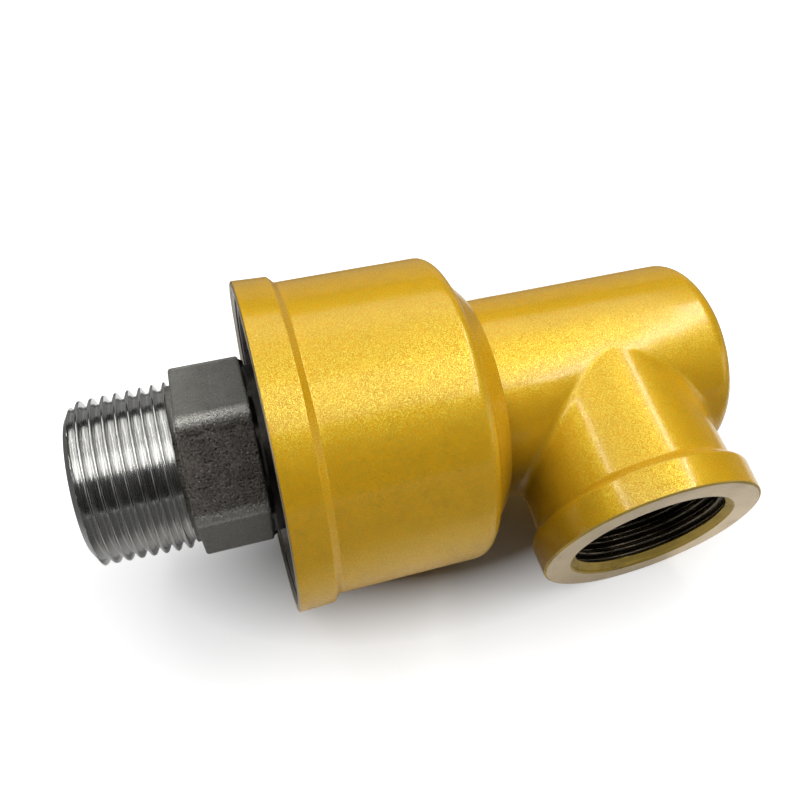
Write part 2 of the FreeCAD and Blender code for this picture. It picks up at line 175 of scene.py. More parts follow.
class Skin:
    """A mesh under construction: its points, and its faces with their material slots."""

    def __init__(self) -> None:
        """Starts with nothing."""
        self.points: list[Points] = []
        self.count = 0
        self.faces: list[Sequence[int]] = []
        self.slots: list[int] = []

    def ring(self, points: Points) -> Numbers:
        """Adds points and returns their numbers.

        Args:
            points: Points in millimetres.

        Returns:
            The new points' numbers.
        """
        self.points.append(points)
        self.count += len(points)
        return np.arange(self.count - len(points), self.count)

    def band(self, first: Numbers, second: Numbers, slot: int = 0) -> None:
        """Closes the gap between two rings that have as many points each.

        Args:
            first: One ring's point numbers.
            second: The other's, in the same order.
            slot: The material slot of the new faces.
        """
        quads = np.column_stack((first, np.roll(first, -1), np.roll(second, -1), second))
        self.faces.extend(quads.tolist())
        self.slots.extend([slot] * len(quads))

    def stitch(self, first: Numbers, second: Numbers, angles: tuple[Numbers, Numbers],
               slot: int = 0) -> None:
        """Closes the gap between two rings that differ in their points.

        Args:
            first: One ring's point numbers, by rising angle.
            second: The other's.
            angles: The rings' rising angles.
            slot: The material slot of the new faces.
        """
        i = j = 0
        while i < len(first) or j < len(second):
            next_i = angles[0][i + 1] if i + 1 < len(first) else angles[0][0] + math.tau
            next_j = angles[1][j + 1] if j + 1 < len(second) else angles[1][0] + math.tau
            a, b = first[i % len(first)], second[j % len(second)]
            if j >= len(second) or (i < len(first) and next_i <= next_j):
                self.faces.append((a, first[(i + 1) % len(first)], b))
                i += 1
            else:
                self.faces.append((a, second[(j + 1) % len(second)], b))
                j += 1
            self.slots.append(slot)

    def fan(self, ring: Numbers, centre: Points, slot: int = 0) -> None:
        """Closes a ring with a fan of triangles to one point.

        Args:
            ring: The ring's point numbers.
            centre: The point, in millimetres.
            slot: The material slot of the new faces.
        """
        hub = self.ring(centre.reshape(1, 3))[0]
        self.faces.extend((a, b, hub) for a, b in zip(ring.tolist(), np.roll(ring, -1).tolist()))
        self.slots.extend([slot] * len(ring))

    def build(self, name: str, finishes: Sequence[bpy.types.Material] = ()) -> bpy.types.Object:
        """Makes the object, in metres, with its faces turned outwards.

        Args:
            name: The object's name.
            finishes: A material for each slot.

        Returns:
            The new object, linked to the scene.
        """
        mesh = bpy.data.meshes.new(name)
        mesh.from_pydata((np.vstack(self.points) * MM).tolist(), [], self.faces)
        for finish in finishes:
            mesh.materials.append(finish)
        mesh.polygons.foreach_set("material_index", self.slots)
        draft = bmesh.new()
        draft.from_mesh(mesh)
        bmesh.ops.recalc_face_normals(draft, faces=draft.faces)
        draft.to_mesh(mesh)
        draft.free()
        mesh.shade_smooth()
        piece = bpy.data.objects.new(name, mesh)
        bpy.context.scene.collection.objects.link(piece)
        return piece


def turned(axis: Axis, outline: Sequence[Pair], segments: int,
           slot_of: Callable[[float, float], int] = lambda along, radius: 0) -> Skin:
    """A closed body of revolution.

    Args:
        axis: The line that it is turned about.
        outline: (along, radius) points, whose first and last lie on the axis.
        segments: Faces round the axis.
        slot_of: Gives a band's material slot from its middle's place and radius.

    Returns:
        The skin, closed by fans at both ends.
    """
    skin = Skin()
    angles = np.arange(segments) * math.tau / segments
    rings = [skin.ring(axis.circle(along, radius, angles)) for along, radius in outline[1:-1]]
    for i, (before, after) in enumerate(zip(rings, rings[1:])):
        middle = [(a + b) / 2 for a, b in zip(outline[i + 1], outline[i + 2])]
        skin.band(before, after, slot_of(*middle))
    for ring, end in ((rings[0], outline[0]), (rings[-1], outline[-1])):
        skin.fan(ring, axis.circle(end[0], 0.0, np.zeros(1))[0], slot_of(end[0], 0.0))
    return skin


def apply_modifiers(piece: bpy.types.Object) -> None:
    """Makes a piece's modifiers part of its mesh.

    Args:
        piece: The piece, whose modifiers are removed.
    """
    bpy.context.view_layer.update()
    graph = bpy.context.evaluated_depsgraph_get()
    finished = bpy.data.meshes.new_from_object(piece.evaluated_get(graph), depsgraph=graph)
    piece.modifiers.clear()
    piece.data = finished


def cut_away(piece: bpy.types.Object, tools: Sequence[bpy.types.Object]) -> None:
    """Cuts closed shapes out of a piece, and removes them.

    Args:
        piece: The piece that is cut.
        tools: The shapes, whose own materials the new faces keep.
    """
    for tool in tools:
        cut = piece.modifiers.new(tool.name, "BOOLEAN")
        cut.operation = "DIFFERENCE"
        cut.solver = "MANIFOLD"
        cut.material_mode = "TRANSFER"
        cut.object = tool
    apply_modifiers(piece)
    for tool in tools:
        bpy.data.objects.remove(tool)


def unevenness(points: Points, size: float) -> Numbers:
    """Slow random waves over a surface.

    Args:
        points: The surface's points in millimetres.
        size: The waves' length in millimetres.

    Returns:
        A value from 0 to 1 for each point.
    """
    return np.array([noise.noise(Vector(point) / size) for point in points]) * 0.5 + 0.5


def crease(piece: bpy.types.Object, degrees: float) -> None:
    """Shades a piece smooth, with sharp edges where its faces meet at more than an angle."""
    piece.data.shade_smooth()
    piece.data.set_sharp_from_angle(angle=math.radians(degrees))


def coordinates(mesh: bpy.types.Mesh) -> Points:
    """A mesh's points in millimetres.

    Args:
        mesh: A mesh in metres.

    Returns:
        One row for each point.
    """
    flat = np.empty(len(mesh.vertices) * 3)
    mesh.vertices.foreach_get("co", flat)
    return flat.reshape(-1, 3) / MM


def mark(piece: bpy.types.Object, name: str, values: Numbers) -> None:
    """Stores a number for each point of a mesh, for its material to read."""
    layer = piece.data.attributes.new(name, "FLOAT", "POINT")
    layer.data.foreach_set("value", values.astype(np.float32))


@dataclass
class PipeThread:
    """The rounded pipe thread of both connections."""

    pitch: float = 2.309
    depth: float = 1.479
    major_radius: float = 16.62
    half_angle: float = math.radians(27.5)
    round_share: float = 0.137329
    taper: float = 1 / 32
    phase: float = -0.65

    def height(self, place: Numbers, angles: Numbers) -> Numbers:
        """How far the thread stands above its root, by place and angle.

        Args:
            place: Distance along the axis.
            angles: Angle round the axis, right-handed with it.

        Returns:
            The height above the root, from 0 to the thread's depth.
        """
        turn = (place - self.phase) / self.pitch - angles / math.tau
        away = np.abs(turn - np.round(turn)) * self.pitch
        round_radius = self.round_share * self.pitch
        middle = self.depth / 2
        hub = middle - round_radius
        flank = (self.pitch / 4 - away) / math.tan(self.half_angle)
        crest = hub + np.sqrt(np.maximum(round_radius**2 - away**2, 0))
        valley = -hub - np.sqrt(np.maximum(round_radius**2 - (self.pitch / 2 - away) ** 2, 0))
        touch = round_radius * math.cos(self.half_angle)
        straight = np.where(away > self.pitch / 2 - touch, valley, flank)
        return middle + np.where(away < touch, crest, straight)


class CastFace(IntEnum):
    """The casting's kinds of face, numbered as its material slots."""

    PAINT = 0
    MOUTH = 1
    BORE = 2
    PORT_FACE = 3
    PORT_EDGE = 4
    PORT_THREAD = 5


CastFinishes = dict[CastFace, bpy.types.Material]


@dataclass
class Housing:
    """The painted casting: rim, barrel, shoulder, tube and threaded side port."""

    mouth_x: float = 16.0
    rim_radius: float = 33.67
    rim_length: float = 7.1
    rim_draft: float = 0.3
    rim_round: float = 0.7
    step_length: float = 1.3
    step_round: float = 0.8
    barrel_radius: float = 32.0
    barrel_end: float = 55.9
    shoulder_round: float = 2.8
    shoulder_land: float = 3.1
    cone_length: float = 4.4
    cone_step: float = 2.7
    casting_round: float = 0.8
    edge_break: float = 0.5
    edge_band: float = 0.6
    run_length: float = 1.2
    tube_radius: float = 21.4
    tail_x: float = 110.7
    tail_round: float = 3.7
    tail_wall: float = 6.0
    seam_x: float = 62.0
    seam_reach: float = 26.0
    seam_gap: float = 0.5
    port_x: float = 85.7
    port_tilt: float = math.radians(19.052)
    port_reach: float = 38.4
    neck_radius: float = 20.5
    collar_length: float = 6.5
    collar_root: float = 1.6
    collar_round: float = 1.2
    collar_radius: float = 22.36
    collar_draft: float = 0.3
    junction_round: float = 2.0
    port_mouth_radius: float = 16.95
    port_thread_depth: float = 19.0
    port_thread_step: float = 0.14
    port_segments: int = 320
    passage_radius: float = 12.5
    passage_step: float = 0.6
    cover_bore: float = 30.85
    mouth_chamfer: float = 1.3
    mouth_land: float = 0.2
    groove_front: float = 16.8
    groove_end: float = 18.4
    groove_depth: float = 1.15
    cover_floor: float = 22.0
    bearing_radius: float = 27.51
    bearings_end: float = 52.0
    relief_radius: float = 20.6
    chamber_x: float = 54.1
    chamber_radius: float = 17.0
    chamber_end: float = 76.85
    main_bore: float = 13.5
    cut_past: float = 1.0
    segments: int = 384
    bore_segments: int = 256
    blank_segments: int = 128
    blank_lead: float = 1.0
    blank_past: float = 4.0
    voxel: float = 0.45
    merge_part: float = 5.0
    settle_steps: int = 4
    crease_angle: float = 32.0
    wave_length: float = 9.0
    wave_depth: float = 0.1
    # Where the painted shade falls: its reach and lead along the axis, its top and drop, its side
    # and spread at the front, and its share under the tube
    painted_shade_reach: float = 32.0
    painted_shade_lead: float = 4.0
    painted_shade_top: float = 13.0
    painted_shade_drop: float = 16.0
    painted_shade_side: float = 6.0
    painted_shade_spread: float = 14.0
    painted_shade_under_tube: float = 0.35
    tube_skin: float = 1.0
    thread: PipeThread = field(default_factory=PipeThread)

    @property
    def port(self) -> Axis:
        """The side port's axis, from the rotor's axis outwards."""
        down, out = math.sin(self.port_tilt), math.cos(self.port_tilt)
        return Axis((self.port_x, 0.0, 0.0), (0.0, -out, -down), (1.0, 0.0, 0.0), (0.0, -down, out))

    def barrel_outline(self) -> list[Pair]:
        """The outline from the mouth's centre over the rim and shoulder to the tube.

        Returns:
            (along, radius) points.
        """
        rim_end = self.mouth_x + self.rim_length
        cone_end = self.barrel_end + self.cone_length
        corners = [
            (self.mouth_x, 0.0), (self.mouth_x, self.rim_radius, self.edge_break),
            (rim_end, self.rim_radius - self.rim_draft, self.rim_round),
            (rim_end + self.step_length, self.barrel_radius, self.step_round),
            (self.barrel_end, self.barrel_radius, self.shoulder_round),
            (self.barrel_end, self.barrel_radius - self.shoulder_land, self.edge_break),
            (cone_end, self.tube_radius + self.cone_step, self.casting_round),
            (cone_end, self.tube_radius, self.casting_round),
            (self.seam_x - self.seam_gap, self.tube_radius),
        ]
        return spaced(rounded(corners), self.run_length)

    def collar_outline(self) -> list[Pair]:
        """The outline from the neck over the port's collar to the face's centre.

        Returns:
            (along, radius) points about the port's axis.
        """
        back = self.port_reach - self.collar_length
        corners = [
            (self.seam_reach + self.seam_gap, self.neck_radius),
            (back - self.collar_root, self.neck_radius, self.collar_round),
            (back, self.collar_radius + self.collar_draft, self.collar_round),
            (self.port_reach, self.collar_radius, self.edge_break), (self.port_reach, 0.0),
        ]
        return spaced(rounded(corners), self.run_length)

    def depth_outside(self, points: Points) -> Numbers:
        """Each point's distance from the tube and neck, negative inside them.

        Args:
            points: Points in millimetres.

        Returns:
            The distances, with the inner corner between tube and neck rounded.
        """
        along, radius, _ = Axis().measure(points)
        reach, port_radius, _ = self.port.measure(points)
        beyond = np.column_stack((radius - self.tube_radius, along - self.tail_x)) + self.tail_round
        tube = np.hypot(*np.maximum(beyond, 0).T) + np.minimum(beyond.max(axis=1), 0)
        tube -= self.tail_round
        beside = np.column_stack((port_radius - self.neck_radius, -reach))
        neck = np.hypot(*np.maximum(beside, 0).T) + np.minimum(beside.max(axis=1), 0)
        tube_normal = points * (0.0, 1.0, 1.0) / np.maximum(radius, TINY)[:, None]
        foot = np.array(self.port.origin) + np.outer(reach, self.port.along)
        neck_normal = (points - foot) / np.maximum(port_radius, TINY)[:, None]
        facing = np.einsum("ij,ij->i", tube_normal, neck_normal)
        spread = np.maximum(1 - facing**2, TINY)
        a, b = self.junction_round - tube, self.junction_round - neck
        between = (a > facing * b) & (b > facing * a)
        in_fillet = between & (reach > 0) & (along < self.tail_x - self.tail_round)
        from_centre = np.sqrt(np.maximum(a * a + b * b - 2 * facing * a * b, 0) / spread)
        return np.where(in_fillet, self.junction_round - from_centre, np.minimum(tube, neck))

    def junction(self) -> tuple[Points, list[Sequence[int]], Numbers, Numbers]:
        """The tube and neck as one smooth surface, open where barrel and collar join it.

        Returns:
            Its points, its faces, and the point numbers of the tube's and the neck's open rings,
            each by rising angle.
        """
        start = self.barrel_end
        tube_outline = [(start, 0.0), (start, self.tube_radius), *rounded([
            (start + self.blank_lead, self.tube_radius),
            (self.tail_x, self.tube_radius, self.tail_round), (self.tail_x, 0.0)])]
        tube = turned(Axis(), tube_outline, self.blank_segments).build("tube_blank")
        neck_end = self.seam_reach + self.blank_past
        neck_outline = [(0.0, 0.0), (0.0, self.neck_radius), (neck_end, self.neck_radius),
                        (neck_end, 0.0)]
        neck = turned(self.port, neck_outline, self.blank_segments).build("neck_blank")
        joined = tube.modifiers.new("neck", "BOOLEAN")
        joined.operation = "UNION"
        joined.solver = "MANIFOLD"
        joined.object = neck
        remesh = tube.modifiers.new("remesh", "REMESH")
        remesh.mode = "VOXEL"
        remesh.voxel_size = self.voxel * MM
        apply_modifiers(tube)
        draft = bmesh.new()
        draft.from_mesh(tube.data)
        bpy.data.objects.remove(tube)
        bpy.data.objects.remove(neck)
        self.settle(draft)
        neck_seam = Vector(self.port.origin) + Vector(self.port.along) * self.seam_reach
        for place, outwards in (((self.seam_x * MM, 0, 0), (-1, 0, 0)),
                                (neck_seam * MM, self.port.along)):
            everything = draft.verts[:] + draft.edges[:] + draft.faces[:]
            bmesh.ops.bisect_plane(draft, geom=everything, plane_co=place, plane_no=outwards,
                                   clear_outer=True)
        open_points = [v for v in draft.verts if v.is_boundary]
        bmesh.ops.remove_doubles(draft, verts=open_points, dist=self.voxel * MM / self.merge_part)
        bmesh.ops.delete(draft, geom=[v for v in draft.verts if not v.link_faces], context="VERTS")
        draft.verts.index_update()
        points = np.array([v.co for v in draft.verts]) / MM
        faces = [[v.index for v in f.verts] for f in draft.faces]
        on_edge = np.array([v.index for v in draft.verts if v.is_boundary])
        draft.free()
        rings = []
        for axis, place in ((Axis(), self.seam_x), (self.port, self.seam_reach)):
            along, _, angle = axis.measure(points[on_edge])
            here = np.abs(along - place) < TOUCHING
            rings.append(on_edge[here][np.argsort(angle[here])])
        return points, faces, rings[0], rings[1]

    def settle(self, draft: bmesh.types.BMesh) -> None:
        """Moves a rough mesh's points onto the true surface of tube and neck.

        Args:
            draft: The mesh, in metres.
        """
        points = np.array([v.co for v in draft.verts]) / MM
        nudge = 0.01
        for _ in range(self.settle_steps):
            depth = self.depth_outside(points)
            slope = np.column_stack([
                (self.depth_outside(points + step) - depth) / nudge for step in np.eye(3) * nudge])
            slope /= np.maximum(np.linalg.norm(slope, axis=1), TINY)[:, None]
            points = points - slope * depth[:, None]
        for vertex, point in zip(draft.verts, points * MM):
            vertex.co = point

    def outer_skin(self, finishes: CastFinishes) -> bpy.types.Object:
        """The whole outside as one closed mesh.

        Args:
            finishes: A material for each kind of face.

        Returns:
            The mesh object.
        """
        skin = Skin()
        angles = (np.arange(self.segments) + 0.5) * math.tau / self.segments - math.pi
        points, faces, tube_ring, neck_ring = self.junction()
        skin.ring(points)
        skin.faces.extend(faces)
        skin.slots.extend([CastFace.PAINT] * len(faces))
        barrel, collar = self.barrel_outline(), self.collar_outline()[::-1]
        for axis, outline, seam, face, edge in (
                (Axis(), barrel, tube_ring, CastFace.MOUTH, CastFace.MOUTH),
                (self.port, collar, neck_ring, CastFace.PORT_FACE, CastFace.PORT_EDGE)):
            rings = [skin.ring(axis.circle(along, radius, angles)) for along, radius in outline[1:]]
            for i, (before, after) in enumerate(zip(rings, rings[1:])):
                behind = abs((outline[i + 1][0] + outline[i + 2][0]) / 2 - outline[0][0])
                near = edge if behind < self.edge_break * self.edge_band else CastFace.PAINT
                skin.band(before, after, face if behind < TINY else near)
            hub = axis.circle(outline[0][0], 0.0, np.zeros(1))[0]
            skin.fan(rings[0], hub, face)
            seam_angles = axis.measure(points[seam])[2]
            skin.stitch(rings[-1], seam, (angles, seam_angles))
        casting = skin.build("housing_casting", [finishes[face] for face in CastFace])
        self.roughen(casting.data)
        return casting

    def roughen(self, mesh: bpy.types.Mesh) -> None:
        """Lets the cast surface sink in slow waves, as a real casting's does.

        Args:
            mesh: The casting's mesh, in metres.
        """
        points = coordinates(mesh)
        normals = np.empty(len(points) * 3)
        mesh.vertices.foreach_get("normal", normals)
        sink = self.wave_depth * unevenness(points, self.wave_length)
        moved = points - normals.reshape(-1, 3) * sink[:, None]
        mesh.vertices.foreach_set("co", (moved * MM).ravel())
        mesh.update()

    def painted_shade(self, points: Points) -> Numbers:
        """How much painted shade each point gets: most in the corner of barrel, tube and neck, less
        along the tube, and only low down and at the front.

        Args:
            points: Points in millimetres.

        Returns:
            A value from 0, no painted shade, to 1, full painted shade, for each point.
        """
        past = points[:, 0] - self.barrel_end - self.cone_length
        leaving = np.clip(1 - past / self.painted_shade_reach, 0, 1)
        beside = leaving * np.clip(1 + past / self.painted_shade_lead, 0, 1)
        on_tube = (past > 0) & (Axis().measure(points)[1] < self.tube_radius + self.tube_skin)
        low = np.clip((self.painted_shade_top - points[:, 2]) / self.painted_shade_drop, 0, 1)
        front = np.clip((-points[:, 1] - self.painted_shade_side) / self.painted_shade_spread, 0, 1)
        return np.maximum(beside, self.painted_shade_under_tube * on_tube) * low * front

    def cavity(self, finish: bpy.types.Material) -> bpy.types.Object:
        """The shape that is bored out along the rotor's axis.

        Args:
            finish: The material of the bored faces.

        Returns:
            The shape, to be cut away.
        """
        start = self.mouth_x - self.cut_past
        inner_end = self.tail_x - self.tail_wall
        outline = rounded([
            (start, 0.0), (start, self.cover_bore + self.mouth_chamfer),
            (self.mouth_x, self.cover_bore + self.mouth_chamfer),
            (self.groove_front - self.mouth_land, self.cover_bore),
            (self.groove_front, self.cover_bore),
            (self.groove_front, self.cover_bore + self.groove_depth),
            (self.groove_end, self.cover_bore + self.groove_depth),
            (self.groove_end, self.cover_bore),
            (self.cover_floor, self.cover_bore), (self.cover_floor, self.bearing_radius),
            (self.bearings_end, self.bearing_radius), (self.bearings_end, self.relief_radius),
            (self.chamber_x, self.relief_radius), (self.chamber_x, self.chamber_radius),
            (self.chamber_end, self.chamber_radius), (self.chamber_end, self.main_bore),
            (inner_end, self.main_bore, self.tail_round), (inner_end, 0.0),
        ])
        return turned(Axis(), outline, self.bore_segments).build("cavity", [finish])

    def port_bore(self, thread: bpy.types.Material, edge: bpy.types.Material) -> bpy.types.Object:
        """The shape that is bored out of the side port, with its helical thread and misted mouth.

        Args:
            thread: The material of the thread and the passage.
            edge: The material of the mouth's chamfer.

        Returns:
            The shape, to be cut away.
        """
        skin = Skin()
        step = self.port_thread_step
        angles = np.arange(self.port_segments) * math.tau / self.port_segments
        root = self.thread.major_radius - self.thread.depth
        floor = self.port_reach - self.port_thread_depth
        mouth = self.port_reach - (self.port_mouth_radius - root)
        rings = [skin.ring(self.port.circle(along, radius, angles)) for along, radius in (
            (0.0, self.passage_radius), (floor - self.passage_step, self.passage_radius),
            (floor, root))]
        for along in np.arange(floor + step, self.port_reach + TOUCHING, step):
            cut = root + self.thread.height(np.full(self.port_segments, along), angles)
            cone = root + (along - mouth) if along > mouth else 0.0
            rings.append(skin.ring(self.port.circle(along, np.maximum(cut, cone), angles)))
        out = self.port_reach + self.cut_past
        rings.append(skin.ring(self.port.circle(self.port_reach, self.port_mouth_radius, angles)))
        rings.append(skin.ring(self.port.circle(out, self.port_mouth_radius, angles)))
        mouth_bands = round((self.port_reach - mouth) / step) + 2
        for i, (before, after) in enumerate(zip(rings, rings[1:])):
            skin.band(before, after, int(i > len(rings) - 1 - mouth_bands))
        skin.fan(rings[0], self.port.circle(0.0, 0.0, np.zeros(1))[0])
        skin.fan(rings[-1], self.port.circle(out, 0.0, np.zeros(1))[0])
        return skin.build("port_bore", [thread, edge])

    def build(self, finishes: CastFinishes) -> bpy.types.Object:
        """Builds the housing and lets it stand for its CAD node.

        Args:
            finishes: A material for each kind of face.

        Returns:
            The housing.
        """
        casting = self.outer_skin(finishes)
        thread, edge = finishes[CastFace.PORT_THREAD], finishes[CastFace.PORT_EDGE]
        cut_away(casting, [self.cavity(finishes[CastFace.BORE]), self.port_bore(thread, edge)])
        crease(casting, self.crease_angle)
        # Painted shade: stores how much the paint darkens in the corner of barrel, tube and neck
        mark(casting, PAINTED_SHADE_MARK, self.painted_shade(coordinates(casting.data)))
        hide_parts("housing")
        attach(casting, "housing_body")
        return casting


class RotorFace(IntEnum):
    """The rotor's kinds of face, numbered as its material slots."""

    THREAD = 0
    FORGED = 1
    GROUND = 2


@dataclass
class Rotor:
    """The turning shaft: thread nipple, wrench hexagon, collar, journal and nose."""

    nipple_length: float = 19.1
    tip_radius: float = 13.62
    tip_length: float = 1.8
    bore_radius: float = 10.5
    bore_chamfer: float = 0.8
    thread_end: float = 0.12
    relief_length: float = 0.9
    relief_radius: float = 15.72
    hex_length: float = 13.8
    hex_flat: float = 16.75
    hex_corner_round: float = 2.5
    hex_edge_round: float = 0.6
    hex_turn: float = math.radians(54.4)
    hex_back: float = 0.8
    hex_back_drop: float = 1.1
    collar_radius: float = 17.0
    collar_end: float = 22.0
    journal_radius: float = 14.99
    journal_end: float = 52.0
    groove_radius: float = 14.3
    groove_end: float = 53.6
    nose_radius: float = 14.9
    nose_end: float = 54.85
    spigot_radius: float = 12.6
    spigot_end: float = 56.85
    die_mark_angle: float = math.radians(123.43)
    die_mark_width: float = 0.32
    die_mark_depth: float = 0.26
    die_mark_runs: tuple[Pair, ...] = ((2.4, 5.6), (8.7, 11.8))
    worn_width: float = 2.6
    end_worn_share: float = 0.2
    end_wear: float = 0.6
    face_coarseness: tuple[float, ...] = (0.3, 1.0, 0.35, 0.9, 0.3, 1.0)
    face_blend: float = 0.12
    segments: int = 420
    round_points: int = 6
    flat_points: int = 26
    crease_angle: float = 38.0
    thread_step: float = 0.0825
    thread: PipeThread = field(default_factory=PipeThread)

    def hexagon_radius(self, angles: Numbers) -> Numbers:
        """The wrench hexagon's distance from the axis at each angle.

        Args:
            angles: Angles round the axis in radians.

        Returns:
            The distance at each angle.
        """
        sixth = math.tau / 6
        from_corner = (angles - self.hex_turn + sixth / 2) % sixth - sixth / 2
        from_flat = sixth / 2 - np.abs(from_corner)
        hub = (self.hex_flat - self.hex_corner_round) / math.cos(sixth / 2)
        arc_start = math.atan2(hub * math.sin(sixth / 2), self.hex_flat)
        side = hub * np.sin(from_corner)
        arc = hub * np.cos(from_corner) + np.sqrt(np.maximum(self.hex_corner_round**2 - side**2, 0))
        return np.where(from_flat < arc_start, self.hex_flat / np.cos(from_flat), arc)

    def die_marks(self, along: float, angles: Numbers) -> Numbers:
        """How deep the forging die's two short marks are, at one place along the hexagon.

        Args:
            along: The place on the axis.
            angles: Angles round the axis in radians.

        Returns:
            The depth at each angle.
        """
        away = np.abs(angles - self.die_mark_angle) * self.hex_flat
        marked = any(start < along < end for start, end in self.die_mark_runs)
        return np.maximum(1 - away / self.die_mark_width, 0) * self.die_mark_depth * marked

    def edge_closeness(self, points: Points) -> Numbers:
        """How near each point lies to an edge of the hexagon, from 0 to 1.

        Args:
            points: Points in millimetres.

        Returns:
            A value for each point.
        """
        along, radius, angle = Axis().measure(points)
        sixth = math.tau / 6
        from_corner = np.abs((angle - self.hex_turn + sixth / 2) % sixth - sixth / 2) * radius
        hex_end = self.relief_length + self.hex_length
        from_end = np.minimum(along - self.relief_length, hex_end - along)
        corner = np.clip(1 - from_corner / self.worn_width, 0, 1)
        end = np.clip(1 - from_end / (self.worn_width * self.end_worn_share), 0, 1) * self.end_wear
        on_hexagon = (from_end > -TOUCHING) & (radius > self.hex_flat - self.hex_edge_round * 2)
        return np.maximum(corner, end) * on_hexagon

    def skin_coarseness(self, points: Points) -> Numbers:
        """How coarse the forged skin is at each point, as faces come rough or pressed smooth.

        Args:
            points: Points in millimetres.

        Returns:
            A value from 0, smooth, to 1, coarse, for each point.
        """
        _, _, angle = Axis().measure(points)
        face = (angle - self.hex_turn) / math.tau * 6
        number = np.floor(face).astype(int) % 6
        share = np.array(self.face_coarseness)
        into = face - np.floor(face)
        edge = np.minimum(into, 1 - into)
        beside = np.where(into < 0.5, number - 1, number + 1) % 6
        mixed = np.clip(edge / self.face_blend, 0, 1) * 0.5 + 0.5
        return share[number] * mixed + share[beside] * (1 - mixed)

    def thread_rings(self, angles: Numbers) -> list[Ring]:
        """(along, radius) of the rings from the tip to the end of the thread.

        Args:
            angles: Angles round the axis in radians.

        Returns:
            The rings, in order.
        """
        rings: list[Ring] = []
        slope = (self.thread.major_radius - self.tip_radius) / self.tip_length
        for along in np.arange(-self.nipple_length, 0.0, self.thread_step):
            crest = self.thread.major_radius + along * self.thread.taper
            root = crest - self.thread.depth
            cut = root + self.thread.height(np.full(angles.shape, along), angles)
            cone = self.tip_radius + (along + self.nipple_length) * slope
            rings.append((along, np.minimum(cut, cone)))
        return rings

    def rings(self, angles: Numbers) -> list[Ring]:
        """(along, radius) of every ring, once round the section from the tip's bore.

        Args:
            angles: Angles round the axis in radians.

        Returns:
            The rings, in order.
        """
        hexagon = self.hexagon_radius(angles)
        hex_end = self.relief_length + self.hex_length
        rounds = np.linspace(0.0, math.pi / 2, self.round_points)
        drop = self.hex_edge_round
        result: list[Ring] = [
            (-self.nipple_length + self.bore_chamfer, self.bore_radius),
            (-self.nipple_length, self.bore_radius + self.bore_chamfer),
        ]
        result += self.thread_rings(angles)
        result += [(self.thread_end, self.relief_radius), (self.relief_length, self.relief_radius)]
        result += [(self.relief_length + drop * (1 - math.sin(t)),
                    hexagon - drop * (1 - math.cos(t))) for t in rounds[::-1]]
        middle = np.linspace(self.relief_length + drop, hex_end - drop, self.flat_points)[1:-1]
        result += [(along, hexagon - self.die_marks(along, angles)) for along in middle]
        result += [(hex_end - drop * (1 - math.sin(t)), hexagon - drop * (1 - math.cos(t)))
                   for t in rounds]
        back = hex_end + self.hex_back
        result += [
            (back, np.maximum(hexagon - self.hex_back_drop, self.collar_radius)),
            (back, self.collar_radius), (self.collar_end, self.collar_radius),
            (self.collar_end, self.journal_radius), (self.journal_end, self.journal_radius),
            (self.journal_end, self.groove_radius), (self.groove_end, self.groove_radius),
            (self.groove_end, self.nose_radius), (self.nose_end, self.nose_radius),
            (self.nose_end, self.spigot_radius), (self.spigot_end, self.spigot_radius),
            (self.spigot_end, self.bore_radius),
        ]
        return result

    def build(self, finishes: dict[RotorFace, bpy.types.Material]) -> bpy.types.Object:
        """Builds the rotor and lets it stand for its CAD node.

        Args:
            finishes: A material for each kind of face.

        Returns:
            The rotor.
        """
        skin = Skin()
        angles = np.arange(self.segments) * math.tau / self.segments
        places = self.rings(angles)
        rings = [skin.ring(Axis().circle(along, radius, angles)) for along, radius in places]
        hex_end = self.relief_length + self.hex_length
        for i, (before, after) in enumerate(zip(rings, rings[1:] + rings[:1])):
            middle = float(np.mean(places[i][0]) + np.mean(places[(i + 1) % len(places)][0])) / 2
            face = RotorFace.FORGED if middle < hex_end + TINY else RotorFace.GROUND
            if middle < self.relief_length / 2 or i == len(rings) - 1:
                face = RotorFace.THREAD
            skin.band(before, after, face)
        shaft = skin.build("rotor_shaft", [finishes[face] for face in RotorFace])
        crease(shaft, self.crease_angle)
        mark(shaft, EDGE_MARK, self.edge_closeness(coordinates(shaft.data)))
        mark(shaft, SKIN_MARK, self.skin_coarseness(coordinates(shaft.data)))
        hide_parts("rotor")
        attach(shaft, "rotor_body")
        return shaft


